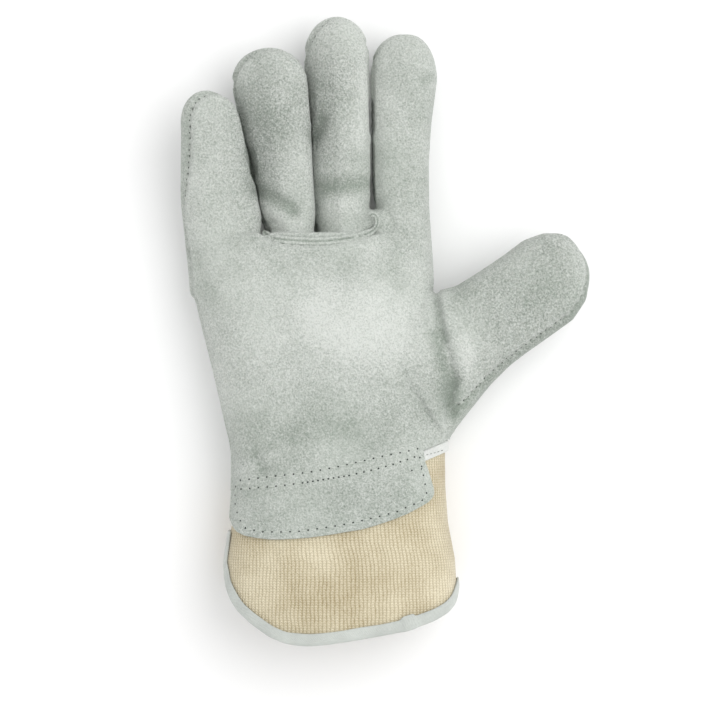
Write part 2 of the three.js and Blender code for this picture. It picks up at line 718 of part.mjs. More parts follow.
// The canvas: one strip round the wrist, tucked under the leather by the lap.
function canvasSolid() {
  const sides = [1, ...COLUMNS.map(() => 0), -1];
  const points = [];
  const rows = CANVAS_ROWS + 1;
  for (const inset of [canvasOuter, canvasInner]) {
    sides.forEach((side, c) => {
      const nominal = side === 0 ? COLUMNS[c - 1] : side * 180;
      const top = wristY(sleevePoint(nominal, WRIST_Y, 0).x) + LAP;
      const foot = side === 0 ? canvasFoot(nominal) : rimY(172) + 2 * FOLD;
      const breaks = CANVAS_BREAKS.map((y, i) => Math.min(y, top - 1 - 0.5 * i));
      for (const y of [top, ...breaks, foot]) {
        const open = slitHalfAngle(y) + (1.7 * FOLD) / arcPerDegree(180, y);
        points.push(sleevePoint(side === 0 ? nominal : side * (180 - open), y, inset));
      }
    });
  }
  const index = [];
  const half = rows * sides.length;
  const quad = (a, b, c, d) => index.push(a, b, c, a, c, d);
  for (let c = 0; c + 1 < sides.length; c += 1) {
    for (let r = 0; r < CANVAS_ROWS; r += 1) {
      const a = c * rows + r;
      quad(a, a + 1, a + 1 + rows, a + rows);
      quad(half + a, half + a + rows, half + a + 1 + rows, half + a + 1);
    }
    const top = c * rows;
    quad(top, top + rows, half + top + rows, half + top);
    const foot = top + CANVAS_ROWS;
    quad(foot, half + foot, half + foot + rows, foot + rows);
  }
  for (let r = 0; r < CANVAS_ROWS; r += 1) {
    quad(r, half + r, half + r + 1, r + 1);
    const a = (sides.length - 1) * rows + r;
    quad(a, a + 1, half + a + 1, half + a);
  }
  return solidOf(geometryOf(points, index)).subtract(alongSlitAndRim([
    [-LEATHER, -FOLD], [-LEATHER, FOLD], [3 * LEATHER + FOLD, FOLD], [3 * LEATHER + FOLD, -FOLD],
  ]));
}

// Sweeps a profile down one edge of the slit, round the rim and up the other edge.
// A profile point gives the inset from the sleeve and the depth in from the edge.
function alongSlitAndRim(profile) {
  const edgeSteps = 3;
  const edge = (side, share) => {
    const y = THREE.MathUtils.lerp(SLIT_TOP, rimY(176), share);
    return { angle: side * (180 - slitHalfAngle(y)), y };
  };
  const shares = Array.from({ length: edgeSteps + 1 }, (_, i) => i / edgeSteps);
  const path = [
    ...shares.map((share) => edge(1, share)),
    ...COLUMNS.map((angle) => ({ angle, y: rimY(angle) })),
    ...shares.reverse().map((share) => edge(-1, share)),
  ];
  const rings = path.map(({ angle, y }, i) => {
    const before = path[Math.max(i - 1, 0)];
    const after = path[Math.min(i + 1, path.length - 1)];
    const scale = arcPerDegree(angle, y);
    const way = new THREE.Vector2((after.angle - before.angle) * scale, after.y - before.y);
    way.normalize();
    return profile.map(([inset, deep]) => (
      sleevePoint(angle + (way.y * deep) / scale, y - way.x * deep, inset)
    ));
  });
  return loft(rings, profile.map(([x, y]) => new THREE.Vector2(-x, y)));
}

// The binding: a folded tape whose legs lie on the sleeve's facets, outside and inside the canvas.
function bindingSolid() {
  const outer = canvasOuter - LEG_GAP;
  const inner = canvasInner + LEG_GAP;
  return alongSlitAndRim([
    [outer - BINDING_WALL, 0], [outer - BINDING_WALL, BINDING_LEG], [outer, BINDING_LEG],
    [outer, BINDING_WALL], [inner, BINDING_WALL], [inner, BINDING_LEG],
    [inner + BINDING_WALL, BINDING_LEG], [inner + BINDING_WALL, 0],
  ]);
}

// A layer over the sleeve between two insets, all the way round.
function sleeveLayer(outerInset, innerInset) {
  const ys = BODY_ROWS.map((row) => row.at).filter((y) => y < WRIST_Y + 0.3 * PALM_LENGTH);
  const hull = loft(ys.map((y) => bodySection(y, outerInset, PALM_POINTS)));
  const floorCut = prism(ALL_ROUND, LOW, 0);
  const longer = [ys[0] - 1, ...ys.slice(1, -1), ys[ys.length - 1] + 1];
  const hollow = loft(longer.map((y) => bodySection(y, innerInset, PALM_POINTS)));
  return hull.subtract(floorCut).subtract(hollow);
}

// The patch: a crescent of leather over the canvas on the palm side.
// x is a share of the wrist width from the axis; drop is a share of the patch's length.
const PATCH_EDGE = [
  { across: -0.6, drop: 0.57 },
  { across: -0.497, drop: 0.6 },
  { across: -0.476, drop: 0.86 },
  { across: -0.434, drop: 0.97 },
  { across: -0.33, drop: 1.06 },
  { across: -0.22, drop: 1.12 },
  { across: -0.046, drop: 1.14 },
  { across: 0.097, drop: 1.15 },
  { across: 0.238, drop: 1.08 },
  { across: 0.36, drop: 0.93 },
  { across: 0.405, drop: 0.88 },
  { across: 0.43, drop: 0.77 },
  { across: 0.425, drop: 0.64 },
  { across: 0.4, drop: 0.3 },
  { across: 0.382, drop: 0.1 },
];
const PATCH_SIDE = PATCH_EDGE[PATCH_EDGE.length - 1].across;
function patchSolid() {
  const edge = PATCH_EDGE.map(({ across, drop }) => {
    const x = AXIS_X + across * WRIST_WIDTH;
    return [x, wristY(x) - drop * PATCH_LENGTH];
  });
  const top = WRIST_SEAM.filter((row) => row.at < PATCH_SIDE)
    .map((row) => seamPoint(row, -SEAM_GAP / 2)).reverse();
  const cornerX = AXIS_X + PATCH_SIDE * WRIST_WIDTH;
  const outline = [...edge, [cornerX, wristY(cornerX) - SEAM_GAP / 2], ...top];
  const layer = sleeveLayer(0, LEATHER);
  return layer.intersect(prism(outline, 0.5 * PALM_DEPTH, HIGH));
}

// The white tape: from the patch's corner round the thumb side to the back of the wrist.
const TAPE_START = 0.413;
const TAPE_END = 0.1;
function tapeSolid() {
  const layer = sleeveLayer(LEATHER - TAPE, LEATHER);
  const band = (fromX) => {
    const corners = WRIST_SEAM.map((row) => AXIS_X + row.at * WRIST_WIDTH);
    const line = [fromX, ...corners.filter((x) => x > fromX)];
    const top = line.map((x) => [x, wristY(x) - SEAM_GAP / 2]);
    const foot = line.map((x) => [x, wristY(x) - TAPE_WIDTH]).reverse();
    return [...top, ...foot];
  };
  const middle = 0.5 * PALM_DEPTH;
  const front = prism(band(AXIS_X + TAPE_START * WRIST_WIDTH), middle - OVERLAP, HIGH);
  const back = prism(band(AXIS_X + TAPE_END * WRIST_WIDTH), LOW, middle);
  return layer.intersect(front.add(back));
}

const PIECES = [
  ['palm_panel', palmPanel, 'leather'],
  ['ring_finger_front', setInFront(1), 'leather'],
  ['middle_finger_front', setInFront(2), 'leather'],
  ['finger_base_welt', baseWelt, 'leather'],
  ['fourchette_little_ring', fourchettes[0], 'leather'],
  ['fourchette_ring_middle', fourchettes[1], 'leather'],
  ['fourchette_middle_index', fourchettes[2], 'leather'],
  ['back_panel', backPanel, 'leather'],
  ['thumb_front', thumbFront, 'leather'],
  ['thumb_back', thumbBack, 'leather'],
  ['cuff_canvas', canvasSolid(), 'canvas'],
  ['wrist_patch', patchSolid(), 'leather'],
  ['cuff_binding', bindingSolid(), 'binding'],
  ['wrist_tape', tapeSolid(), 'tape'],
];

// A seam cut can leave crumbs off the true piece: the largest body is the piece.
function largestBody(solid) {
  const bodies = solid.decompose();
  bodies.sort((a, b) => b.volume() - a.volume());
  return bodies[0];
}

function meshOf(name, solid, material) {
  const { vertProperties, triVerts } = largestBody(solid).getMesh();
  const geometry = new THREE.BufferGeometry();
  geometry.setAttribute('position', new THREE.BufferAttribute(new Float32Array(vertProperties), 3));
  geometry.setIndex(new THREE.BufferAttribute(new Uint32Array(triVerts), 1));
  geometry.computeVertexNormals();
  const mesh = new THREE.Mesh(geometry, PALETTE[material]);
  mesh.name = name;
  return mesh;
}

const glove = new THREE.Group();
for (const [name, solid, material] of PIECES) glove.add(meshOf(name, solid, material));

// The origin is on the floor under the middle of the glove.
const box = new THREE.Box3().setFromObject(glove);
const middle = box.getCenter(new THREE.Vector3());
glove.position.set(-middle.x, -middle.y, -box.min.z);
glove.updateMatrixWorld(true);

export default glove;
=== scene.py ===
"""Leather work glove: fine panels, canvas cuff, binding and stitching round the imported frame."""
import math

import bmesh
import bpy
import numpy as np
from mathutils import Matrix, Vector
from mathutils.bvhtree import BVHTree
from mathutils.kdtree import KDTree


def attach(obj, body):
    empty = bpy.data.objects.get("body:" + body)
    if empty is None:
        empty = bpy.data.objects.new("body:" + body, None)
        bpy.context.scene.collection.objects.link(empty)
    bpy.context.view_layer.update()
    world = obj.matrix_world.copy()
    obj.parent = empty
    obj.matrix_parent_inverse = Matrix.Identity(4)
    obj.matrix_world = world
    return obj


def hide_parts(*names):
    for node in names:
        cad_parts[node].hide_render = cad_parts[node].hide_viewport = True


bl_info = {
    "name": "Leather Work Glove",
    "version": (1, 0, 0),
    "blender": (4, 5, 0),
    "location": "View3D > Sidebar > Glove",
    "description": "Builds a split-leather work glove with a canvas cuff round its packed frame",
    "category": "Mesh",
}

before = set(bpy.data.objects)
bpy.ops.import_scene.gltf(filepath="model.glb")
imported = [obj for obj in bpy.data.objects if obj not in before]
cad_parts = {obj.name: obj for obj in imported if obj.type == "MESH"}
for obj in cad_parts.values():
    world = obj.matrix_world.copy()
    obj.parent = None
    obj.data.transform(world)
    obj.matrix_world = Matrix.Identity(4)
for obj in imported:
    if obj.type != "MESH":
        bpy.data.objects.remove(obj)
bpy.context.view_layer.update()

MM = 0.001
BODY = "root"

# Sizes of the hand in millimetres, after the frame's. The fingers' lean, the side seams and the
# binding's wall differ from it a little.
AXIS_X, WRIST_Y = -19.03, -60.37
PALM_LENGTH, PALM_WIDTH = 102.0, 103.0
CUFF_LENGTH, CUFF_DEPTH = 74.0, 52.0
FOOT_Y = WRIST_Y + 0.931 * PALM_LENGTH
FOOT_HEIGHT, FINGER_DEPTH = 18.5, 25.0
LEAN, LEAN_HEIGHT = 0.3, 24.8
LEANS = [0.3, 0.3, 0.05]  # of each line between neighbouring fingers
SECTION_POWER = 2 / 2.3

# Sleeve and palm, from the rim up: y, half widths either side of the axis, floor and top.
BODY_ROWS = np.array([
    (-140.3, 52.5, 52.5, -3.0, 52.0),
    (-115.9, 52.2, 52.2, -3.0, 51.6),
    (-98.9, 51.0, 51.0, -3.0, 50.3),
    (-82.6, 48.1, 48.1, -3.0, 47.2),
    (-67.8, 47.1, 47.1, -3.0, 46.1),
    (-54.5, 47.0, 47.0, -3.0, 46.0),
    (-48.3, 47.6, 47.3, -3.0, 44.0),
    (-31.4, 51.6, 47.6, -3.0, 43.1),
    (-8.4, 57.2, 45.6, -3.0, 42.2),
    (14.6, 62.8, 40.6, -3.0, 40.9),
    (34.6, 66.4, 39.6, -2.0, 37.8),
    (44.7, 67.5, 38.9, 1.3, 33.9),
])

# Fingers: foot as a share of the palm width, turn, length, width, rise to the tip, outer seam
# heights at left and right, and rows of half widths as shares of the width, with the depth.
FINGERS = {
    "little": dict(foot=-0.484, turn=5.9, length=67.7, width=33, rise=15, seam=(8.2, 1), rows=[
        (0, 0.5, 0.52, 1.04), (0.27, 0.5, 0.5, 1), (0.53, 0.462, 0.455, 0.95),
        (0.76, 0.4, 0.395, 0.86)]),
    "ring": dict(foot=-0.217, turn=5, length=86.4, width=34, rise=9.5, seam=(3, 3.5), rows=[
        (0, 0.4, 0.37, 1), (0.3, 0.42, 0.42, 1), (0.43, 0.465, 0.455, 1.02),
        (0.69, 0.5, 0.485, 1), (0.79, 0.5, 0.495, 0.96)]),
    "middle": dict(foot=0.013, turn=0.9, length=99.6, width=33, rise=4.5, seam=(3.5, 3.5), rows=[
        (0, 0.385, 0.385, 1), (0.21, 0.4, 0.385, 1), (0.37, 0.45, 0.41, 1),
        (0.64, 0.505, 0.49, 1), (0.81, 0.515, 0.49, 0.96)]),
    "index": dict(foot=0.252, turn=0.5, length=92.7, width=33, rise=0.5, seam=(3, -2), rows=[
        (0, 0.35, 0.41, 0.98), (0.2, 0.385, 0.375, 0.98), (0.4, 0.455, 0.38, 0.98),
        (0.6, 0.475, 0.42, 0.98), (0.78, 0.505, 0.49, 0.95)]),
}
ORDER = ["little", "ring", "middle", "index"]
# Lines between neighbouring fingers: x and crotch as shares of the palm, sideways run to the tips.
DIVIDERS = [(-0.317, 0.995, -0.21), (-0.106, 0.99, -0.05), (0.136, 1.093, -0.02)]
TIP_ROUNDNESS = 2.2
# A wall between fingers: its lower edge under the finger's axis, and its front edge over it on a
# finger's left and right side.
FOURCHETTE_HALF = 6.5
FRONT_EDGES = (-1.0, 3.0)

THUMB_LENGTH, THUMB_WIDTH, THUMB_DEPTH = 83.0, 39.5, 28.0
THUMB_HEIGHT, THUMB_RISE, THUMB_ANGLE = 24.0, 4.0, math.radians(32)
# Thumb: share of its length, edges above and below its axis, depth.
THUMB_ROWS = np.array([
    (-0.1, 0.64, 0.86, 1.12), (0.06, 0.63, 0.735, 1.1), (0.25, 0.575, 0.595, 1.06),
    (0.36, 0.5, 0.547, 1.02), (0.51, 0.504, 0.509, 1.0), (0.65, 0.514, 0.496, 0.98),
    (0.78, 0.535, 0.475, 0.94), (0.885, 0.496, 0.372, 0.82), (0.957, 0.4, 0.2, 0.6),
    (0.985, 0.33, 0.1, 0.42), (0.998, 0.22, -0.02, 0.18),
])
THUMB_ROOT = np.array([AXIS_X + 0.342 * PALM_WIDTH, WRIST_Y + 0.45 * PALM_LENGTH])

# Seam lines seen from above, as x and y.
THUMB_LINE = np.array([
    (26.8, -120.0), (26.8, -55.3), (27.8, -29.8), (29.9, -20.6), (27.8, -14.0), (25.3, -4.3),
    (23.2, 3.9), (21.9, 12.1), (21.5, 19.2), (23.6, 25.0), (23.6, 60.0)])
WRIST_LINE = np.array([
    (-95.0, -72.0), (-75.4, -70.6), (-61.3, -69.1), (-37.8, -66.0), (-19.0, -61.9), (-0.2, -57.8),
    (10.1, -54.5), (25.1, -48.6), (37.4, -44.0), (60.0, -36.0)])
BASE_LINE = np.array([
    (-51.9, 42.4), (-50.9, 40.2), (-49.1, 39.0), (-43.1, 38.0), (-35.3, 37.5), (-29.3, 37.3),
    (-22.9, 37.6), (-15.1, 38.8), (-9.1, 39.9), (-5.6, 41.6)])
PATCH_LINE = np.array([
    (-80.0, -50.0), (-80.0, -76.0), (-66.9, -78.0), (-66.2, -81.8), (-65.3, -84.4),
    (-63.3, -86.7), (-59.9, -88.2), (-55.6, -88.9), (-49.8, -89.5), (-45.2, -89.5),
    (-39.6, -89.2), (-32.3, -88.6), (-23.3, -87.4), (-15.8, -86.1), (-10.0, -85.2),
    (-3.7, -83.5), (3.4, -81.3), (9.8, -78.8), (15.8, -75.7), (18.8, -74.0), (20.7, -72.0),
    (21.4, -70.2), (21.0, -67.6), (19.7, -63.5), (18.6, -59.8), (17.4, -56.8), (16.4, -50.0)])

# Rim of the binding seen from above, palm side.
RIM_FRONT = np.array([
    (-71.5, -101.0), (-70.2, -103.5), (-69.5, -109.7), (-67.2, -115.3), (-63.7, -120.5),
    (-57.0, -126.3), (-49.5, -131.3), (-42.2, -134.1), (-33.2, -135.0), (-22.9, -134.1),
    (-8.9, -131.9), (8.1, -129.0), (16.7, -126.5), (22.3, -124.6), (27.9, -121.5),
    (30.9, -118.5), (32.2, -115.2), (32.9, -111.6), (33.5, -107.0)])
# The same on the back, by angle round the sleeve.
RIM_BACK = np.array([
    (-180, -101.0), (-172, -106.3), (-160, -115.1), (-135, -121.8), (-90, -124.0),
    (-45, -120.3), (-15, -113.0)])
SLIT_TOP = WRIST_Y - 0.36 * CUFF_LENGTH
SLIT_TOP_HALF_GAP, SLIT_HALF_GAP = 1.6, 3.2


def colour(code):
    """An sRGB hex value as the linear colour that the shaders use."""
    levels = [int(code[i:i + 2], 16) / 255 for i in (1, 3, 5)]
    return tuple(c / 12.92 if c <= 0.04045 else ((c + 0.055) / 1.055) ** 2.4 for c in levels)


def arc_length(line):
    """Distance of each point along a line of points."""
    return np.concatenate([[0], np.cumsum(np.linalg.norm(np.diff(line, axis=0), axis=1))])


def smoothstep(value, low, high):
    share = np.clip((value - low) / (high - low), 0, 1)
    return share * share * (3 - 2 * share)


def length(name, description, value):
    return bpy.props.FloatProperty(
        name=name, description=description, default=value, unit="LENGTH")


def power(name, description, value):
    return bpy.props.FloatProperty(
        name=name, description=description, default=value, unit="POWER")


def tint(name, description, code):
    return bpy.props.FloatVectorProperty(
        name=name, description=description, subtype="COLOR", default=colour(code))


class LeatherSettings(bpy.types.PropertyGroup):
    thickness: length("Thickness", "Wall of the leather", 1.4 * MM)
    mesh_size: length("Mesh size", "Spacing of the fine mesh", 0.95 * MM)
    groove: length("Groove", "Depth of the valley at a sewn seam", 1.25 * MM)
    # The two ends of the leather's colour: the light and dark of its nap, and also the painted
    # light and painted shade carried by its tone attribute.
    light: tint("Light nap", "Nap brushed towards the light", "#e1e5df")
    dark: tint("Dark nap", "Nap brushed away from the light", "#8d988c")


class CuffSettings(bpy.types.PropertyGroup):
    canvas_thickness: length("Canvas", "Wall of the canvas", 1.1 * MM)
    rib_pitch: length("Rib pitch", "Spacing of the canvas ribs", 1.65 * MM)
    binding_width: length("Binding width", "Width of the binding on one side", 5.2 * MM)
    # The two ends of the canvas colour: its own uneven tone, with painted light on the raised
    # threads and painted shade in the hollows between them.
    canvas_light: tint("Canvas light", "Raised cotton threads", "#e2d9bf")
    canvas_dark: tint("Canvas dark", "Hollows between threads", "#9c8c68")
    binding: tint("Binding", "Twill tape", "#d3d8d2")
    tape: tint("Tape", "White cotton tape", "#eef0ec")


class StitchSettings(bpy.types.PropertyGroup):
    diameter: length("Thread", "Diameter of the sewing thread", 0.6 * MM)
    pitch: length("Pitch", "Length of a stitch on the wrist rows", 3.9 * MM)
    thread: tint("Thread colour", "Undyed cotton thread", "#cfd5cd")
    hole: tint("Hole colour", "Shadowed leather in a needle hole", "#39403a")


class StageSettings(bpy.types.PropertyGroup):
    distance: length("Camera distance", "Height of the camera", 1.8)
    key: power("Key light", "Power of the softbox", 11.0)
    floor: tint("Floor", "Plain pale floor", "#fafafa")


# Small tools for meshes and materials.

def deselect_all():
    bpy.ops.object.select_all(action="DESELECT")


def grid_sheet(name, points, uv=None):
    """A grid primitive laid through points[row, column] in millimetres. Rows run to the left of
    the columns, seen from outside, and rows or columns that coincide are merged."""
    rows, columns = points.shape[:2]
    deselect_all()
    bpy.ops.mesh.primitive_grid_add(x_subdivisions=columns - 1, y_subdivisions=rows - 1, size=1)
    made = bpy.context.object
    made.name = made.data.name = name
    made.data.vertices.foreach_set("co", (points.reshape(-1, 3) * MM).ravel())
    if uv is not None:
        corner = np.zeros(len(made.data.loops), dtype=np.int32)
        made.data.loops.foreach_get("vertex_index", corner)
        made.data.uv_layers[0].data.foreach_set("uv", uv.reshape(-1, 2)[corner].ravel())
    bpy.ops.object.mode_set(mode="EDIT")
    bpy.ops.mesh.select_all(action="SELECT")
    bpy.ops.mesh.remove_doubles(threshold=0.005 * MM)
    bpy.ops.object.mode_set(mode="OBJECT")
    bpy.ops.object.shade_smooth()
    return made


def apply_modifier(target, kind, **settings):
    """Adds one modifier with its settings and applies it."""
    deselect_all()
    target.select_set(True)
    bpy.context.view_layer.objects.active = target
    made = target.modifiers.new(kind.title(), kind)
    for key, value in settings.items():
        setattr(made, key, value)
    bpy.ops.object.modifier_apply(modifier=made.name)


def finish_piece(piece, material, slot, *nodes):
    """Gives a piece its material, its body and the CAD nodes that it stands for. The slot is not
    used.
    """
    piece.data.materials.clear()
    piece.data.materials.append(material)
    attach(piece, BODY)
    if nodes:
        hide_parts(*nodes)


def positions(mesh):
    flat = np.zeros(len(mesh.vertices) * 3)
    mesh.vertices.foreach_get("co", flat)
    return flat.reshape(-1, 3) / MM


def set_values(mesh, **values):
    """Keeps numbers on a mesh's points, for its material to read."""
    for key, value in values.items():
        made = mesh.attributes.new(key, "FLOAT", "POINT")
        made.data.foreach_set("value", np.full(len(mesh.vertices), value, np.float32))


def add(tree, kind, inputs=None, **settings):
    """Adds a shader node with its settings, and its inputs as values or links."""
    made = tree.nodes.new(kind)
    for key, value in settings.items():
        setattr(made, key, value)
    for key, value in (inputs or {}).items():
        if isinstance(value, bpy.types.NodeSocket):
            tree.links.new(value, made.inputs[key])
        else:
            made.inputs[key].default_value = value
    return made


def surface(name, **sockets):
    """A new material with its shader's constants set on the shader's own sockets."""
    made = bpy.data.materials.new(name)
    made.use_nodes = True
    shader = made.node_tree.nodes["Principled BSDF"]
    for key, value in sockets.items():
        shader.inputs[key.replace("_", " ")].default_value = value
    return made, made.node_tree, shader


def mix(tree, share, low, high):
    """A colour between two, by a share."""
    made = add(tree, "ShaderNodeMix", data_type="RGBA")
    for key, value in zip((0, 6, 7), (share, low, high)):
        if isinstance(value, bpy.types.NodeSocket):
            tree.links.new(value, made.inputs[key])
        else:
            made.inputs[key].default_value = value if key == 0 else (*value, 1)
    return made.outputs[2]


def math_node(tree, operation, first, second=0.0, third=0.0):
    made = add(tree, "ShaderNodeMath", {0: first, 1: second, 2: third}, operation=operation)
    return made.outputs[0]


# Shape of the hand, worked out from its tables.

def body_half(y, column):
    return np.interp(y, BODY_ROWS[:, 0], BODY_ROWS[:, column])


def unit_section(angle):
    """Sideways and upward shares of a rounded section at angles in degrees."""
    side, up = np.cos(np.radians(angle)), np.sin(np.radians(angle))
    return np.sign(side) * abs(side) ** SECTION_POWER, np.sign(up) * abs(up) ** SECTION_POWER


def sleeve_point(angle, y, inset):
    """A point on the sleeve or palm: 0 degrees at the thumb side, 90 on top, 180 at the slit."""
    angle, y, inset = np.broadcast_arrays(*(np.asarray(v, float) for v in (angle, y, inset)))
    left, right = AXIS_X - body_half(y, 1) + inset, AXIS_X + body_half(y, 2) - inset
    floor, top = body_half(y, 3) + inset, body_half(y, 4) - inset
    side, up = unit_section(angle)
    x = (left + right) / 2 + side * (right - left) / 2
    z = (floor + top) / 2 + up * (top - floor) / 2
    return np.stack([x, y, np.maximum(z, np.maximum(inset, 0))], axis=-1)


def divider_x(order, y):
    x, crotch, run = DIVIDERS[order]
    return AXIS_X + x * PALM_WIDTH + run * (y - WRIST_Y - crotch * PALM_LENGTH)


def crotch_y(order):
    return WRIST_Y + DIVIDERS[order][1] * PALM_LENGTH


GAP = 1.7  # half of the room kept between fingers while the form is made


class Finger:
    """A finger's own frame: along its length, across it, and up."""

    def __init__(self, order):
        data = FINGERS[ORDER[order]]
        turn = math.radians(data["turn"])
        self.order = order
        self.length, self.width, self.rise = data["length"], data["width"], data["rise"]
        self.seam = data["seam"]
        self.rows = np.array(data["rows"])
        self.ahead = np.array([-math.sin(turn), math.cos(turn)])
        self.across = np.array([math.cos(turn), math.sin(turn)])
        self.root = np.array([AXIS_X + data["foot"] * PALM_WIDTH, FOOT_Y])

    def height(self, share):
        return FOOT_HEIGHT + self.rise * np.maximum(share, 0) ** 1.2

    def limit(self, share, order):
        """Distance from the axis to a divider, measured across."""
        axis = self.root + np.multiply.outer(share * self.length, self.ahead)
        slope = self.across[0] - DIVIDERS[order][2] * self.across[1]
        return (divider_x(order, axis[..., 1]) - axis[..., 0]) / slope

    def halves(self, share, gap=GAP):
        """Reach to the left and right at a share of the length."""
        left = np.interp(share, self.rows[:, 0], self.rows[:, 1]) * self.width
        right = np.interp(share, self.rows[:, 0], self.rows[:, 2]) * self.width
        if self.order > 0:
            left = np.minimum(left, -self.limit(share, self.order - 1) - gap)
        if self.order < 3:
            right = np.minimum(right, self.limit(share, self.order) - gap)
        return left, right

    def dome(self, share):
        """Scale of the section over the tip."""
        last = self.rows[-1, 0]
        reach = np.clip((share - last) / (1 - last), 0, 1)
        return (1 - reach ** TIP_ROUNDNESS) ** (1 / TIP_ROUNDNESS)

    def points(self, columns):
        last = self.rows[-1, 0]
        steps = np.sin(np.linspace(0, 0.5 * np.pi, 16))
        shares = np.concatenate([[-0.28], np.linspace(-0.28, last, 40), last + (1 - last) * steps])
        scale = self.dome(shares)
        scale[0] = 0
        left, right = self.halves(shares)
        depth = np.interp(shares, self.rows[:, 0], self.rows[:, 3]) * FINGER_DEPTH / 2 * scale
        side, up = unit_section(np.linspace(0, 360, columns))
        half, middle = (left + right) / 2 * scale, (right - left) / 2
        edges = [0, *LEANS, 0]
        lean = np.where(side < 0, edges[self.order], edges[self.order + 1])
        u = middle[:, None] + half[:, None] * side + (lean * smoothstep(abs(side), 0, 0.6)
                                                      * up * depth[:, None])
        axis = self.root + np.multiply.outer(shares * self.length, self.ahead)
        plan = axis[:, None] + u[..., None] * self.across
        z = self.height(shares)[:, None] + up * depth[:, None]
        return np.dstack([plan, z])

    def place(self, points):
        """Share of the length, distance across as a share of the half width, height."""
        away = points[:, :2] - self.root
        share = away @ self.ahead / self.length
        left, right = self.halves(np.clip(share, -0.2, 1))
        lifted = points[:, 2] - self.height(share)
        u = away @ self.across - (right - left) / 2 - LEAN * lifted
        return share, u / ((left + right) / 2), lifted


FINGER_FRAMES = [Finger(order) for order in range(4)]
THUMB_AHEAD = np.array([math.cos(THUMB_ANGLE), math.sin(THUMB_ANGLE)])
THUMB_ACROSS = np.array([-math.sin(THUMB_ANGLE), math.cos(THUMB_ANGLE)])


def thumb_points(columns):
    shares = np.concatenate([np.linspace(-0.1, 0.8, 40), np.linspace(0.81, 0.998, 22)])
    above, below, depth = (np.interp(shares, THUMB_ROWS[:, 0], THUMB_ROWS[:, i]) for i in (1, 2, 3))
    side, up = unit_section(np.linspace(0, 360, columns))
    half = (above + below) * THUMB_WIDTH / 2
    middle = (above - below) * THUMB_WIDTH / 2
    axis = THUMB_ROOT + np.multiply.outer(shares * THUMB_LENGTH, THUMB_AHEAD)
    plan = axis[:, None] + (middle[:, None] + half[:, None] * side)[..., None] * THUMB_ACROSS
    centre = THUMB_HEIGHT + THUMB_RISE * np.maximum(shares, 0)
    z = centre[:, None] + up * (depth * THUMB_DEPTH / 2)[:, None]
    rings = np.dstack([plan, z])
    return closed_ends(rings)


def closed_ends(rings):
    """Adds a ring shrunk to its middle before the first and after the last."""
    first = np.repeat(rings[:1, :-1].mean(axis=1, keepdims=True), rings.shape[1], axis=1)
    last = np.repeat(rings[-1:, :-1].mean(axis=1, keepdims=True), rings.shape[1], axis=1)
    return np.concatenate([first, rings, last])


def body_points(columns):
    ys = np.concatenate([np.linspace(-100, 38, 70), [40.0, 41.0]])
    angle = np.linspace(360, 0, columns)
    return closed_ends(sleeve_point(angle[None], ys[:, None], 0.0))


def web_points(columns):
    """The bridge between the middle and index fingers, up to their crotch."""
    ys = np.array([26.0, 46.0, 49.5, 51.2])
    scale = np.array([1.0, 1.0, 0.93, 0.75])
    side, up = unit_section(np.linspace(360, 0, columns))
    x = divider_x(2, 51.0) + 12 * scale[:, None] * side
    z = FOOT_HEIGHT + 0.8 + 11.8 * scale[:, None] * up
    return closed_ends(np.dstack([x, np.broadcast_to(ys[:, None], x.shape), z]))


def finger_of(points):
    """Which finger each point lies in, from the leaning lines between them."""
    x, y, lifted = points[:, 0], points[:, 1], points[:, 2] - LEAN_HEIGHT
    return sum((x - LEANS[o] * lifted > divider_x(o, y)).astype(int) for o in range(3))


def beyond_thumb_line(points):
    return points[:, 0] - np.interp(points[:, 1], THUMB_LINE[:, 1], THUMB_LINE[:, 0])


def seam_heights(points):
    """Height of the front panels' edge, and how far below it the back panel's edge lies."""
    x, y = points[:, 0], points[:, 1]
    left_side = smoothstep(x, -39, -19)
    height = 22.9 + (16.5 - 22.9) * left_side
    gap = np.zeros(len(points))
    which = finger_of(points)
    for order, finger in enumerate(FINGER_FRAMES):
        chosen = which == order
        share, q, _ = finger.place(points[chosen])
        foot = 22.9 if order < 2 else 16.5
        fade = 1 - smoothstep(share, 0.8, 0.93)
        right = smoothstep(q, 0.1, 0.6) * (order < 3) * fade
        left = smoothstep(-q, 0.1, 0.6) * (order > 0) * fade
        facing = right + left
        tilt = smoothstep(q, -1, 1)
        outer = finger.seam[0] + (finger.seam[1] - finger.seam[0]) * tilt
        if order == 0:
            outer = outer - 5.5 * (1 - smoothstep(share, 0.1, 0.6)) * (1 - tilt)
        offset = outer * (1 - facing) + FRONT_EDGES[0] * left + FRONT_EDGES[1] * right
        raised = foot + (finger.height(share) + offset - foot) * smoothstep(share, 0, 0.3)
        start = min(crotch_y(o) for o in (order - 1, order) if 0 <= o < 3)
        height[chosen] = np.where(y[chosen] > FOOT_Y, raised, height[chosen])
        ramp = smoothstep(y[chosen], start - 3, start + 3)
        gap[chosen] = (FOURCHETTE_HALF * facing + FRONT_EDGES[0] * left
                       + FRONT_EDGES[1] * right) * ramp
    past = beyond_thumb_line(points)
    away = points[:, :2] - THUMB_ROOT
    thumb = (THUMB_HEIGHT + 2.5 + THUMB_RISE * np.clip(away @ THUMB_AHEAD / THUMB_LENGTH, 0, 1)
             - 0.3 * (away @ THUMB_ACROSS))
    share = smoothstep(past, -2, 2)
    return height * (1 - share) + thumb * share, np.where(gap > 1.5, gap, 0) * (past < 0)


def above_wrist(points):
    return points[:, 1] - np.interp(points[:, 0], WRIST_LINE[:, 0], WRIST_LINE[:, 1])


def beyond_base(points):
    return points[:, 1] - np.interp(points[:, 0], BASE_LINE[:, 0], BASE_LINE[:, 1])


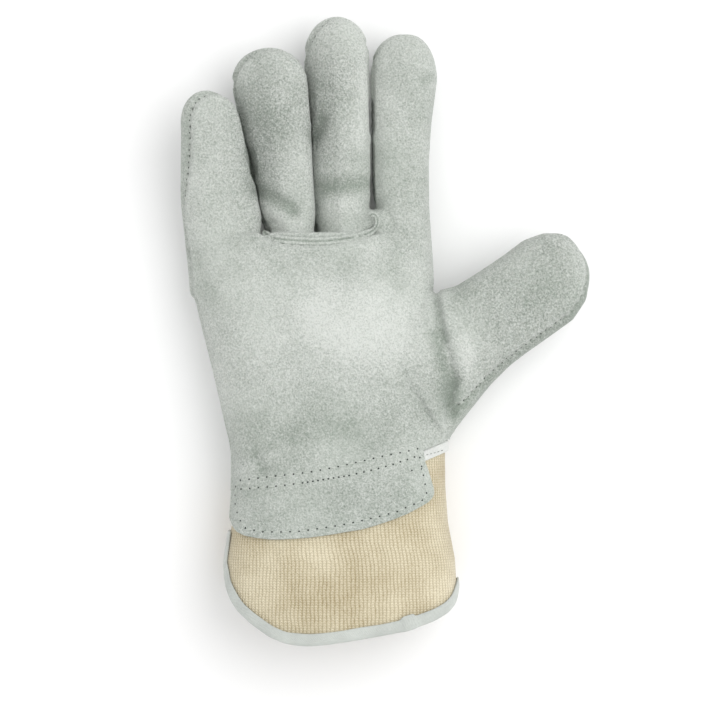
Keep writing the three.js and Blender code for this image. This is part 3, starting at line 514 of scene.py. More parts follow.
def inside_outline(points, outline):
    """Distance in plan to a closed outline, positive inside."""
    x, y = points[:, 0], points[:, 1]
    nearest = np.full(len(points), 1e9)
    inside = np.zeros(len(points), dtype=bool)
    for a, b in zip(outline, np.roll(outline, -1, axis=0)):
        run = b - a
        share = np.clip(((x - a[0]) * run[0] + (y - a[1]) * run[1]) / (run @ run), 0, 1)
        away = np.hypot(x - a[0] - share * run[0], y - a[1] - share * run[1])
        nearest = np.minimum(nearest, away)
        crosses = (a[1] > y) != (b[1] > y)
        with np.errstate(divide="ignore", invalid="ignore"):
            at = a[0] + (y - a[1]) * run[0] / run[1]
        inside ^= crosses & (x < at)
    return np.where(inside, nearest, -nearest)


# Folds and dents seen from above: points along the middle line, half width, height (a dent is
# negative). Millimetres.
FOLDS = [
    ([(-57.5, 75.3), (-55.0, 66.8)], 3.2, -2.2),
    ([(-54.3, 75.3), (-53.4, 69.5), (-54.5, 63.5), (-56.9, 61.2)], 1.0, 0.7),
    ([(-55.1, 60.0), (-44.4, 54.0), (-39.2, 50.1)], 3.4, -2.6),
    ([(-52.0, 53.0), (-44.0, 48.0), (-36.0, 46.0)], 4.0, 1.1),
    ([(-53.0, 46.3), (-47.0, 45.7)], 1.2, -0.7),
    ([(-26.8, 89.4), (-29.8, 81.6)], 3.0, -2.4),
    ([(-25.5, 60.5), (-17.0, 60.8), (-8.3, 62.5)], 3.8, -1.9),
    ([(-24.0, 52.0), (-10.0, 53.0)], 4.5, 0.8),
    ([(-9.0, 120.0), (-9.5, 95.0), (-9.8, 78.0)], 2.6, 0.8),
    ([(19.5, 108.3), (16.5, 107.0)], 2.2, -1.5),
    ([(21.9, -3.0), (23.3, -9.5), (25.5, -18.0), (29.0, -23.0)], 3.2, -2.0),
    ([(34.2, -4.4), (35.0, -19.0)], 3.6, 1.0),
    ([(26.5, -27.6), (28.5, -35.3)], 3.6, -1.8),
    ([(21.8, 12.0), (23.4, 4.0), (25.8, -4.5)], 2.2, -1.3),
    ([(-54.5, -54.2), (-51.6, -60.3)], 3.0, -1.0),
    ([(-60.7, -60.3), (-47.3, -54.3)], 2.6, 0.8),
    ([(-20.7, 31.0), (-14.0, 30.0)], 5.0, -0.7),
    ([(3.4, 23.6), (6.0, 20.0)], 5.0, -0.8),
    ([(3.4, 38.3), (5.0, 34.0)], 5.0, -0.7),
    ([(-81.8, 33.6), (-80.0, 28.0)], 3.0, -0.8),
    ([(-30.0, -38.0), (-8.0, -46.0)], 9.0, -0.9),
    ([(-24.0, 6.0), (-2.0, -4.0)], 16.0, 1.2),
]


def fold_offset(points):
    total = np.zeros(len(points))
    for line, width, height in FOLDS:
        line = np.array(line)
        nearest = np.full(len(points), 1e9)
        for a, b in zip(line[:-1], line[1:]):
            run = b - a
            share = np.clip((points[:, :2] - a) @ run / (run @ run), 0, 1)
            away = points[:, :2] - a - share[:, None] * run
            nearest = np.minimum(nearest, np.hypot(*away.T))
        total += height * np.exp(-(nearest / width) ** 2)
    return total


def value_noise(points, size, seed):
    """Smooth noise of about the given size in millimetres, between -1 and 1."""
    random = np.random.default_rng(seed)
    table = random.uniform(-1, 1, (32, 32, 32))
    place = points / size
    cell = np.floor(place).astype(int)
    share = place - cell
    share = share * share * (3 - 2 * share)
    total = np.zeros(len(points))
    for corner in np.ndindex(2, 2, 2):
        corner = np.array(corner)
        weight = np.prod(np.where(corner, share, 1 - share), axis=1)
        index = (cell + corner) % 32
        total += weight * table[index[:, 0], index[:, 1], index[:, 2]]
    return total


def outward(piece):
    """Turns a closed piece's faces outwards."""
    deselect_all()
    piece.select_set(True)
    bpy.context.view_layer.objects.active = piece
    bpy.ops.object.mode_set(mode="EDIT")
    bpy.ops.mesh.select_all(action="SELECT")
    bpy.ops.mesh.normals_make_consistent(inside=False)
    bpy.ops.object.mode_set(mode="OBJECT")


def make_form(settings):
    """The hand as one closed surface: rounded forms joined, remeshed and relaxed."""
    parts = [grid_sheet("hand_form", body_points(129))]
    parts += [grid_sheet("finger", f.points(73)[:, ::-1]) for f in FINGER_FRAMES]
    parts += [grid_sheet("thumb", thumb_points(81)[:, ::-1]), grid_sheet("web", web_points(49))]
    for part in parts:
        outward(part)
    deselect_all()
    for part in parts:
        part.select_set(True)
    bpy.context.view_layer.objects.active = parts[0]
    bpy.ops.object.join()
    form = parts[0]
    apply_modifier(form, "REMESH", mode="VOXEL", voxel_size=settings.mesh_size)
    apply_modifier(form, "SMOOTH", factor=0.5, iterations=8)
    return form


def plump_fingers(points):
    """Closes the room kept between fingers, so that they press together."""
    moved = points.copy()
    which = finger_of(points)
    for order, finger in enumerate(FINGER_FRAMES):
        chosen = (which == order) & (points[:, 1] > 35)
        place = points[chosen]
        _, q, _ = finger.place(place)
        for side, neighbour in ((-1, order - 1), (1, order)):
            if not 0 <= neighbour < 3:
                continue
            ramp = smoothstep(place[:, 1], crotch_y(neighbour), crotch_y(neighbour) + 9)
            push = side * (GAP - 0.2) * smoothstep(side * q, 0.2, 1.0) * ramp
            place[:, :2] += push[:, None] * finger.across
        moved[chosen] = place
    return moved


# Cutting the form into panels.

def cut(bm, layer, tag_layer, tag, field, where):
    """Cuts the surface along the line where a field of its points is zero, on the faces whose
    points pass the test, and marks the new edges."""
    bm.verts.index_update()
    points = np.array([v.co for v in bm.verts]) / MM
    value = field(points)
    value[~where(points)] = np.nan
    verts = list(bm.verts)
    for v, number in zip(verts, value):
        v[layer] = number
    snaps = {}
    for edge in bm.edges:
        a, b = edge.verts
        fa, fb = a[layer], b[layer]
        if fa * fb < 0:
            t = fa / (fa - fb)
            near, far, reach = (a, b, t) if t < 0.5 else (b, a, 1 - t)
            if reach < 0.22 and reach < snaps.get(near, (1, None))[0]:
                snaps[near] = (reach, near.co.lerp(far.co, reach))
    for v, (_, place) in snaps.items():
        v.co = place
        v[layer] = 0.0
    for edge in list(bm.edges):
        a, b = edge.verts
        fa, fb = a[layer], b[layer]
        if fa * fb < 0:
            made = bmesh.utils.edge_split(edge, a, fa / (fa - fb))[1]
            made[layer] = 0.0
    for face in list(bm.faces):
        signs = [v[layer] for v in face.verts]
        if any(s > 0 for s in signs) and any(s < 0 for s in signs):
            zeros = [v for v in face.verts if v[layer] == 0.0]
            for i, a in enumerate(zeros):
                rest = [b for b in zeros[i + 1:] if not bm.edges.get((a, b))]
                if rest:
                    bmesh.utils.face_split(face, a, rest[0])
                    break
    for edge in bm.edges:
        if all(v[layer] == 0.0 for v in edge.verts):
            edge[tag_layer] = tag


def chains(pairs):
    """Orders edges, given as pairs of vertex numbers, into runs of vertices."""
    joined = {}
    for a, b in pairs:
        joined.setdefault(a, []).append(b)
        joined.setdefault(b, []).append(a)
    runs, used = [], set()
    starts = [v for v, near in joined.items() if len(near) != 2] + list(joined)
    for start in starts:
        for step in joined[start]:
            if (start, step) in used:
                continue
            run = [start, step]
            used.update({(start, step), (step, start)})
            while len(joined[run[-1]]) == 2:
                after = [v for v in joined[run[-1]] if (run[-1], v) not in used]
                if not after:
                    break
                used.update({(run[-1], after[0]), (after[0], run[-1])})
                run.append(after[0])
            runs.append(run)
    return runs


SIDE, STRIP, THUMB, BASE, WRIST, PATCH = 1, 2, 3, 4, 5, 6
PANELS = [
    "palm_panel", "ring_finger_front", "middle_finger_front", "fourchette_little_ring",
    "fourchette_ring_middle", "fourchette_middle_index", "back_panel", "thumb_front",
    "thumb_back", "wrist_patch", "waste",
]
# Kept between operators: seam runs by tag as vertex numbers, the same as points, the leather's
# surface in millimetres, and the cloth pieces of the cuff.
seams, seam_lines, surfaces, pieces = {}, {}, {}, {}


def panel_of(points):
    """Number of the panel that each face centre belongs to."""
    height, gap = seam_heights(points)
    x, y, z = points.T
    which = finger_of(points)
    front = z > height
    strip = ~front & (z > height - gap)
    number = np.where(front, 0, 6)
    past = beyond_base(points) > 0
    set_in = front & past & (x > -60) & (y > 36)
    number = np.where(set_in & (which == 1), 1, number)
    number = np.where(set_in & (which == 2), 2, number)
    nearest = np.argmin([abs(x - LEAN * (z - LEAN_HEIGHT) - divider_x(o, y)) for o in range(3)],
                        axis=0)
    number = np.where(strip, 3 + nearest, number)
    thumb = beyond_thumb_line(points) > 0
    number = np.where(thumb, np.where(front, 7, 8), number)
    below = above_wrist(points) < 0
    patch = below & (z > 22) & (inside_outline(points, PATCH_LINE) > 0)
    return np.where(below, np.where(patch, 9, 10), number)


def cut_panels(form):
    """Cuts the form along every seam, presses the seams in and numbers the panels' faces."""
    bm = bmesh.new()
    bm.from_mesh(form.data)
    layer = bm.verts.layers.float.new("field")
    tags = bm.edges.layers.int.new("tag")

    def everywhere(p):
        return np.ones(len(p), dtype=bool)

    cut(bm, layer, tags, WRIST, above_wrist, lambda p: abs(above_wrist(p)) < 6)
    cut(bm, layer, tags, THUMB, beyond_thumb_line, lambda p: (p[:, 1] < 32) & (p[:, 0] > 5))
    cut(bm, layer, tags, SIDE, lambda p: p[:, 2] - seam_heights(p)[0], everywhere)
    cut(bm, layer, tags, STRIP, lambda p: p[:, 2] - seam_heights(p)[0] + seam_heights(p)[1],
        lambda p: (p[:, 1] > 34) & (seam_heights(p)[1] > 0))
    cut(bm, layer, tags, BASE, beyond_base, lambda p: (
        (p[:, 2] > seam_heights(p)[0]) & (p[:, 0] > -53) & (p[:, 0] < -4) & (p[:, 1] > 30)
        & (p[:, 1] < 48)))
    cut(bm, layer, tags, PATCH, lambda p: inside_outline(p, PATCH_LINE), lambda p: (
        (p[:, 2] > 22) & (above_wrist(p) < 2) & (p[:, 0] > -75)))
    bm.verts.index_update()
    points = np.array([v.co for v in bm.verts]) / MM
    for tag in (SIDE, STRIP, THUMB, BASE, WRIST, PATCH):
        pairs = [(e.verts[0].index, e.verts[1].index) for e in bm.edges if e[tags] == tag]
        seams[tag] = chains(pairs)
    bm.normal_update()
    normals = np.array([v.normal for v in bm.verts])
    points = press_seams(points, normals)
    for v, place in zip(bm.verts, points):
        v.co = place * MM
    centres = np.array([f.calc_center_median() for f in bm.faces]) / MM
    return bm, points, centres


# Valleys by seam: share of the depth, and width in millimetres.
GROOVES = {SIDE: (1.0, 1.5), STRIP: (0.8, 1.3), THUMB: (1.0, 1.8), BASE: (1.3, 1.8)}
PUCKER_PITCH = 4.2


def press_seams(points, normals):
    """Presses a valley along each seam, with puckers between its stitches."""
    depth = bpy.context.scene.glove_leather.groove / MM
    total = np.zeros(len(points))
    for tag, (scale, width) in GROOVES.items():
        runs = [r for r in seams[tag] if len(r) > 3]
        size = sum(len(r) for r in runs)
        tree, arcs = KDTree(size), []
        for run in runs:
            line = points[run]
            for place, s in zip(line, arc_length(line)):
                tree.insert(place, len(arcs))
                arcs.append(s)
        tree.balance()
        drop = np.zeros(len(points))
        for i, place in enumerate(points):
            _, index, distance = tree.find(place)
            if distance < 4 * width:
                pucker = 1 + 0.3 * math.cos(2 * math.pi * arcs[index] / PUCKER_PITCH)
                ridge = 0.22 * math.exp(-((distance - 2.4 * width) / (0.9 * width)) ** 2)
                drop[i] = scale * (math.exp(-(distance / width) ** 2) * pucker - ridge)
        total = np.where(abs(drop) > abs(total), drop, total)
    return points - normals * (depth * total)[:, None]


# Darker and lighter places of the leather, put where the photograph shows them: painted shade and
# painted light, and in places soil and rubbing. Centre, reach and change of tone.
TONES = [
    ((31, 16), 8, -0.9), ((30, -27), 8, -0.9), ((36, -10), 4.5, 0.5), ((-75, 14), 9, -0.5),
    ((-50, -44), 14, -0.5), ((18, 92), 10, -0.4), ((2, 74), 8, -0.5), ((-2, 100), 7, 0.6),
    ((-34, 70), 8, 0.7), ((-6, 48), 7, -0.5), ((14, 60), 14, -0.3), ((70, 20), 14, -0.3),
    ((-52, 92), 9, -0.6), ((-30, 100), 8, -0.4), ((8, -38), 16, -0.3), ((-42, 108), 12, 0.3),
]


def paint_leather(mesh, points):
    """Tone and nap of the leather, kept as attributes of its points. The tone holds the leather's
    own uneven tone and, laid over it, painted shade and painted light.
    """
    x, y, z = points.T
    tone = 0.45 * value_noise(points, 24, 3) + 0.25 * value_noise(points, 9, 4)
    # Painted light over the middle of the palm, painted shade in a band across the lower palm, and
    # darker towards the cuff.
    tone += 0.4 * np.exp(-(((x + 8) / 30) ** 2 + ((y - 2) / 32) ** 2))
    tone -= 0.55 * np.exp(-(((x + 14) / 46) ** 2 + ((y + 52) / 17) ** 2))
    tone -= 0.5 * smoothstep(-y, 62, 72)
    # Painted shade in the dents of the folds and painted light on their ridges.
    tone += 0.85 * np.clip(fold_offset(points), -1.8, 0.9)
    tone -= 0.3 * smoothstep(x, 24, 40)
    # Painted shade and painted light from the table of places, with some soil and rubbing.
    for place, reach, depth in TONES:
        tone += depth * np.exp(-((x - place[0]) ** 2 + (y - place[1]) ** 2) / reach ** 2)
    # Painted shade on the side walls below the front panels' edge, on the thumb side and on the
    # little finger's side.
    below = seam_heights(points)[0] - z
    outside = smoothstep(below, 0, 1.2) * (z > 12)
    tone -= outside * (1.1 * smoothstep(x, 26, 32) + 0.6 * (x < -55) * (y > 30))
    # Painted shade on the left halves of the ring and middle fingers, which also get a coarser nap.
    ring = np.exp(-(((x + 52) / 12) ** 2 + ((y - 84) / 30) ** 2))
    middle = np.exp(-(((x + 25) / 10) ** 2 + ((y - 95) / 38) ** 2))
    tone -= 0.8 * ring + 0.35 * middle
    nap = 0.4 + 0.6 * np.clip(ring + 0.8 * middle, 0, 1) + 0.15 * value_noise(points, 18, 5)
    nap += 0.2 * smoothstep(x, 30, 50)
    set_values(mesh, tone=tone, nap=nap)


LEATHER_NAME = "split cowhide, brushed"


def split_leather():
    """Split cowhide: the fibrous inner side of the hide, buffed to a dull, uneven nap. It shows
    short fibres brushed light and dark, small pits, and no gloss at all."""
    settings = bpy.context.scene.glove_leather
    made, tree, shader = surface(LEATHER_NAME, Roughness=0.95, IOR=1.45, Sheen_Weight=0.35,
                                 Sheen_Roughness=0.6)
    place = add(tree, "ShaderNodeTexCoord").outputs["Object"]
    # Fibre tufts are about 0.9 mm long here; real ones are finer than a pixel of the view.
    fine = add(tree, "ShaderNodeTexNoise", {"Vector": place, "Scale": 1 / (0.8 * MM),
                                            "Detail": 3.0, "Roughness": 0.7}).outputs["Fac"]
    coarse = add(tree, "ShaderNodeTexNoise", {"Vector": place, "Scale": 1 / (1.9 * MM),
                                              "Detail": 4.0, "Roughness": 0.6,
                                              "Distortion": 0.6}).outputs["Fac"]
    patches = add(tree, "ShaderNodeTexNoise", {"Vector": place, "Scale": 1 / (11 * MM),
                                               "Detail": 3.0}).outputs["Fac"]
    tone = add(tree, "ShaderNodeAttribute", attribute_name="tone").outputs["Fac"]
    nap = add(tree, "ShaderNodeAttribute", attribute_name="nap").outputs["Fac"]
    grain = math_node(tree, "ADD", math_node(tree, "MULTIPLY", fine, 0.8),
                      math_node(tree, "MULTIPLY", coarse, 0.2))
    centred = math_node(tree, "SUBTRACT", grain, 0.5)
    strength = math_node(tree, "MULTIPLY_ADD", nap, 3.6, 1.0)
    speckle = math_node(tree, "MULTIPLY", centred, strength)
    broad = math_node(tree, "SUBTRACT", patches, 0.5)
    broad = math_node(tree, "MULTIPLY_ADD", broad, 0.35, speckle)
    # The tone attribute brings its painted shade and painted light, and the leather's own uneven
    # tone, into the colour.
    share = math_node(tree, "MULTIPLY_ADD", tone, 0.25, math_node(tree, "ADD", broad, 0.57))
    share = add(tree, "ShaderNodeClamp", {"Value": share}).outputs[0]
    tree.links.new(mix(tree, share, settings.dark, settings.light), shader.inputs["Base Color"])
    bump = add(tree, "ShaderNodeBump", {"Height": speckle, "Strength": 1.0, "Distance": 0.6 * MM})
    tree.links.new(bump.outputs["Normal"], shader.inputs["Normal"])
    return made


class GLOVE_OT_panels(bpy.types.Operator):
    """Builds the leather panels of the hand from one relaxed form"""
    bl_idname = "glove.panels"
    bl_label = "Leather panels"

    def execute(self, context):
        settings = context.scene.glove_leather
        form = make_form(settings)
        points = plump_fingers(positions(form.data))
        top = smoothstep(points[:, 2], 18, 26)
        points[:, 2] += fold_offset(points) * top
        points += 0.25 * np.stack([value_noise(points, 14, s) for s in (11, 12, 13)], axis=1)
        points[:, 2] = np.maximum(points[:, 2], 0)
        form.data.vertices.foreach_set("co", (points * MM).ravel())
        form.data.update()
        bm, points, centres = cut_panels(form)
        numbers = panel_of(centres)
        for face, number in zip(bm.faces, numbers):
            face.material_index = int(number)
        bm.to_mesh(form.data)
        bm.free()
        points[:, 2] = np.maximum(points[:, 2], 0)
        form.data.vertices.foreach_set("co", (points * MM).ravel())
        paint_leather(form.data, points)
        surfaces["leather"] = BVHTree.FromPolygons(
            [tuple(p) for p in points], [tuple(p.vertices) for p in form.data.polygons])
        for tag, runs in seams.items():
            seam_lines[tag] = [points[run] for run in runs if len(run) > 3]
        leather = split_leather()
        for name in PANELS:
            form.data.materials.append(bpy.data.materials.new(name))
        deselect_all()
        form.select_set(True)
        context.view_layer.objects.active = form
        bpy.ops.object.mode_set(mode="EDIT")
        bpy.ops.mesh.select_all(action="SELECT")
        bpy.ops.mesh.separate(type="MATERIAL")
        bpy.ops.object.mode_set(mode="OBJECT")
        for piece in list(context.selected_objects):
            name = piece.material_slots[piece.data.polygons[0].material_index].material.name
            piece.data.polygons.foreach_set("material_index",
                                            np.zeros(len(piece.data.polygons), dtype=np.int32))
            if name == "waste":
                bpy.data.objects.remove(piece)
                continue
            piece.name = piece.data.name = name + "_leather"
            for attribute in ("field", "tag"):
                if attribute in piece.data.attributes:
                    piece.data.attributes.remove(piece.data.attributes[attribute])
            apply_modifier(piece, "SOLIDIFY", thickness=settings.thickness, offset=-1.0,
                           use_even_offset=False)
            finish_piece(piece, leather, "split_leather", name)
        for name in PANELS:
            bpy.data.materials.remove(bpy.data.materials[name])
        return {"FINISHED"}




def on_leather(x, y):
    """Where a plumb line at x and y meets the leather, and the normal there."""
    place, normal, _, _ = surfaces["leather"].ray_cast(Vector((x, y, 90)), Vector((0, 0, -1)))
    if place is None:
        raise RuntimeError(f"no leather under {x:.1f}, {y:.1f}")
    return np.array(place), np.array(normal if normal.z > 0 else -normal)


def nearest_leather(point):
    """The nearest point of the leather, and the normal there."""
    place, normal, _, _ = surfaces["leather"].find_nearest(Vector(point))
    return np.array(place), np.array(normal)


def resample(line, pitch):
    """Points at an even pitch along a line of points."""
    line = np.array(line, float)
    arc = arc_length(line)
    steps = np.linspace(0, arc[-1], max(int(round(arc[-1] / pitch)), 1) + 1)
    return np.stack([np.interp(steps, arc, line[:, i]) for i in range(line.shape[1])], axis=1)


def smooth_line(line, pitch, rounds):
    """An evenly spaced line with its corners eased."""
    made = resample(line, pitch)
    for _ in range(rounds):
        made[1:-1] = 0.25 * made[:-2] + 0.5 * made[1:-1] + 0.25 * made[2:]
    return made


def swept(path, side, up, profile):
    """Rings of a profile carried along a path, with a sideways and an upward direction."""
    return (path[:, None] + profile[None, :, :1] * side[:, None]
            + profile[None, :, 1:] * up[:, None])


# The welt's end turns up and curls over beside the index finger: x, y and lift.
CURL = [(-4.6, 42.2, 0.3), (-3.4, 43.6, 0.7), (-2.8, 45.6, 1.2), (-3.0, 47.6, 1.7),
        (-4.2, 49.2, 2.0), (-5.6, 49.4, 1.6), (-6.2, 48.2, 0.6)]
WELT_PROFILE = np.array([
    (-1.75, -1.4), (-1.85, -0.5), (-1.6, 0.25), (-1.1, 0.55), (-0.55, 0.4), (-0.15, -0.15),
    (0.15, -0.15), (0.55, 0.5), (1.1, 0.7), (1.65, 0.3), (1.85, -0.5), (1.7, -1.4), (0.0, -1.6),
    (-1.75, -1.4)])


class GLOVE_OT_welt(bpy.types.Operator):
    """Lays the two-lipped welt along the base seam of the middle fingers"""
    bl_idname = "glove.welt"
    bl_label = "Base welt"

    def execute(self, context):
        plan = smooth_line(BASE_LINE, 0.8, 4)
        lifted = []
        for x, y in plan:
            heights = [on_leather(x, y + away)[0][2] for away in (-3.0, 2.6)]
            lifted.append((x, y, min(np.mean(heights), heights[0]) - 0.35))
        start = lifted[-1][2]
        line = lifted + [(x, y, start + lift) for x, y, lift in CURL]
        path = smooth_line(line, 0.6, 6)
        path[:, 2] += 0.12 * np.sin(path[:, 0] * 1.7)
        along = np.gradient(path, axis=0)
        along /= np.linalg.norm(along, axis=1, keepdims=True)
        side = np.stack([-along[:, 1], along[:, 0], np.zeros(len(path))], axis=1)
        side /= np.linalg.norm(side, axis=1, keepdims=True)
        up = np.cross(along, side)
        scale = np.minimum(smoothstep(np.arange(len(path)), -2, 5),
                           0.55 + 0.45 * smoothstep(-path[:, 0], 3.5, 8))
        rings = path[:, None] + scale[:, None, None] * (
            swept(path, side, up, WELT_PROFILE) - path[:, None])
        piece = grid_sheet("base_welt", closed_ends(rings))
        outward(piece)
        apply_modifier(piece, "SUBSURF", levels=1, render_levels=1)
        tree = KDTree(len(path))
        for i, place in enumerate(path):
            tree.insert((place[0], place[1], 0), i)
        tree.balance()
        away = np.array([tree.find((x, y, 0))[2] for x, y, _ in positions(piece.data)])
        shade = -0.1 - 2.2 * np.exp(-(away / 0.4) ** 2) - 1.6 * smoothstep(away, 1.5, 1.9)
        set_values(piece.data, tone=shade, nap=0.3)
        finish_piece(piece, bpy.data.materials[LEATHER_NAME], "split_leather",
                     "finger_base_welt")
        return {"FINISHED"}


# The cuff. Angles run from the slit at 180 over the palm side to the thumb side at 0.

def rim_table():
    """Rim height by angle, all the way round."""
    front = np.arange(180.0, -1.0, -3.0)
    x = sleeve_point(front, np.full(len(front), -112.0), 0.0)[:, 0]
    y = np.interp(x, RIM_FRONT[:, 0], RIM_FRONT[:, 1])
    table = np.concatenate([np.stack([front, y], axis=1), RIM_BACK[::-1]])
    table = table[np.argsort(table[:, 0])]
    return table


def rim_y(angle):
    table = rim_table()
    return np.interp(angle, table[:, 0], table[:, 1])


def degree_length(angle, y):
    """Millimetres along the sleeve for one degree."""
    away = sleeve_point(angle + 3, y, 0.0) - sleeve_point(angle - 3, y, 0.0)
    return np.linalg.norm(away, axis=-1) / 6


def slit_half_angle(y):
    opened = smoothstep(SLIT_TOP - y, 0, 0.2 * CUFF_LENGTH)
    half = SLIT_TOP_HALF_GAP + (SLIT_HALF_GAP - SLIT_TOP_HALF_GAP) * opened
    return np.degrees(half / (0.5 * CUFF_DEPTH))


CANVAS_INSET = 1.75


class GLOVE_OT_canvas(bpy.types.Operator):
    """Wraps the canvas cuff round the wrist, open at the slit"""
    bl_idname = "glove.canvas"
    bl_label = "Canvas cuff"

    def execute(self, context):
        settings = context.scene.glove_cuff
        turn = np.linspace(1, -1, 261)[None, :]
        rise = np.linspace(0, 1, 71)[:, None]
        nominal = 180 * turn
        top_x = sleeve_point(np.clip(nominal, -176, 176), WRIST_Y, 0.0)[..., 0]
        top = np.interp(top_x, WRIST_LINE[:, 0], WRIST_LINE[:, 1]) + 5.0
        foot = rim_y(np.clip(nominal, -172, 172)) + 1.3
        y = foot + (top - foot) * rise
        angle = turn * (180 - slit_half_angle(y) - 1.6)
        points = sleeve_point(angle, y, CANVAS_INSET)
        flat = points.reshape(-1, 3)
        centre = np.array([AXIS_X, 0, 24])
        away = (flat - centre) * [1, 0, 1]
        away /= np.linalg.norm(away, axis=1, keepdims=True)
        ripple = 0.5 * value_noise(flat, 17, 21) + 0.25 * value_noise(flat, 8, 22)
        free = smoothstep(-flat[:, 1], 88, 100)
        flat = flat + away * (np.minimum(ripple, 0.25) * (0.3 + 0.7 * free))[:, None]
        flat[:, 2] = np.maximum(flat[:, 2], CANVAS_INSET)
        points = flat.reshape(points.shape)
        arc = arc_length(points[35])
        uv = np.dstack([np.broadcast_to(arc, y.shape), y]) * MM
        piece = grid_sheet("canvas_cuff", points, uv)
        apply_modifier(piece, "SOLIDIFY", thickness=settings.canvas_thickness, offset=-1.0)
        finish_piece(piece, canvas_cloth(), "cotton_canvas", "cuff_canvas")
        pieces["canvas"] = piece
        return {"FINISHED"}


def uv_parts(tree):
    """The piece's own UV: across and along the cloth, in metres."""
    place = add(tree, "ShaderNodeUVMap").outputs["UV"]
    parts = add(tree, "ShaderNodeSeparateXYZ", {"Vector": place})
    return parts.outputs["X"], parts.outputs["Y"]


def canvas_cloth():
    """Undyed cotton drill: heavy ply yarns woven in upright ribs. Each rib shows a column of
    slanted stitches that meet its neighbour's in a zigzag, with hollows between that are darkened
    as painted shade."""
    settings = bpy.context.scene.glove_cuff
    made, tree, shader = surface("undyed cotton drill", Roughness=0.92, Sheen_Weight=0.25)
    across, along = uv_parts(tree)
    object_place = add(tree, "ShaderNodeTexCoord").outputs["Object"]
    wobble = add(tree, "ShaderNodeTexNoise", {"Vector": object_place, "Scale": 1 / (5 * MM),
                                              "Detail": 2.0}).outputs["Fac"]
    shift = math_node(tree, "MULTIPLY_ADD", wobble, 0.7, -0.35)
    rib = math_node(tree, "MULTIPLY_ADD", across, 1 / settings.rib_pitch, shift)
    inside = math_node(tree, "FRACT", rib)
    fold = math_node(tree, "ABSOLUTE", math_node(tree, "MULTIPLY_ADD", inside, 2.0, -1.0))
    rows = math_node(tree, "MULTIPLY", along, 1 / (1.1 * MM))
    phase = math_node(tree, "MULTIPLY_ADD", fold, 0.55, rows)
    strand = math_node(tree, "MULTIPLY_ADD", math_node(
        tree, "COSINE", math_node(tree, "MULTIPLY", phase, 2 * math.pi)), 0.5, 0.5)
    crest = math_node(tree, "SUBTRACT", 1.0, math_node(tree, "POWER", fold, 2.5))
    yarn = add(tree, "ShaderNodeTexNoise", {"Vector": object_place, "Scale": 1 / (0.7 * MM),
                                            "Detail": 3.0}).outputs["Fac"]
    weave = math_node(tree, "MULTIPLY", math_node(tree, "MULTIPLY_ADD", strand, 0.6, 0.4), crest)
    height = math_node(tree, "MULTIPLY_ADD", yarn, 0.9, math_node(
        tree, "MULTIPLY_ADD", weave, 0.8, -0.27))
    wash = add(tree, "ShaderNodeTexNoise", {"Vector": object_place, "Scale": 1 / (20 * MM),
                                            "Detail": 3.0}).outputs["Fac"]
    share = math_node(tree, "MULTIPLY_ADD", wash, 1.0, -0.55)
    # Colour from a random wash of the cotton's own tone, and from the weave's height: painted light
    # on the raised threads and painted shade in the hollows.
    share = math_node(tree, "ADD", share, math_node(tree, "MULTIPLY", height, 0.85))
    share = add(tree, "ShaderNodeClamp", {"Value": math_node(tree, "ADD", share, 0.1)}).outputs[0]
    colours = mix(tree, share, settings.canvas_dark, settings.canvas_light)
    tree.links.new(colours, shader.inputs["Base Color"])
    bump = add(tree, "ShaderNodeBump", {"Height": height, "Strength": 0.7, "Distance": 0.5 * MM})
    tree.links.new(bump.outputs["Normal"], shader.inputs["Normal"])
    return made


def twill_tape(name, base):
    """Cotton twill tape: fine slanted ridges, soft and matt, a little soiled in patches."""
    made, tree, shader = surface(name, Roughness=0.85, Sheen_Weight=0.3)
    across, along = uv_parts(tree)
    object_place = add(tree, "ShaderNodeTexCoord").outputs["Object"]
    # Ridges of real twill are about 0.4 mm apart; here they are 0.8 mm, so that they show.
    slant = math_node(tree, "MULTIPLY_ADD", across, 0.9, along)
    ridge = math_node(tree, "SINE", math_node(tree, "MULTIPLY", slant, 2 * math.pi / (0.8 * MM)))
    fuzz = add(tree, "ShaderNodeTexNoise", {"Vector": object_place, "Scale": 1 / (0.8 * MM),
                                            "Detail": 3.0}).outputs["Fac"]
    soil = add(tree, "ShaderNodeTexNoise", {"Vector": object_place, "Scale": 1 / (9 * MM),
                                            "Detail": 2.0}).outputs["Fac"]
    height = math_node(tree, "MULTIPLY_ADD", ridge, 0.3, fuzz)
    # Colour from the tape's own fuzz and soil, and painted shade between the twill's ridges.
    share = math_node(tree, "MULTIPLY_ADD", height, 0.55, math_node(tree, "MULTIPLY", soil, 0.7))
    share = add(tree, "ShaderNodeClamp", {"Value": math_node(tree, "ADD", share, -0.15)}).outputs[0]
    colours = mix(tree, share, [0.6 * c for c in base], list(base))
    tree.links.new(colours, shader.inputs["Base Color"])
    bump = add(tree, "ShaderNodeBump", {"Height": height, "Strength": 0.6, "Distance": 0.3 * MM})
    tree.links.new(bump.outputs["Normal"], shader.inputs["Normal"])
    return made


# Folded binding: inset from the sleeve and depth in from the edge.
BINDING_PROFILE = np.array([
    (0.62, 5.2), (0.42, 4.8), (0.35, 3.6), (0.35, 2.2), (0.42, 1.2), (0.7, 0.45), (1.3, 0.08),
    (2.1, 0.0), (2.9, 0.08), (3.5, 0.45), (3.8, 1.2), (3.9, 2.6), (3.9, 4.0), (3.7, 5.2)])
LAP_X = (8.3, 14.8)


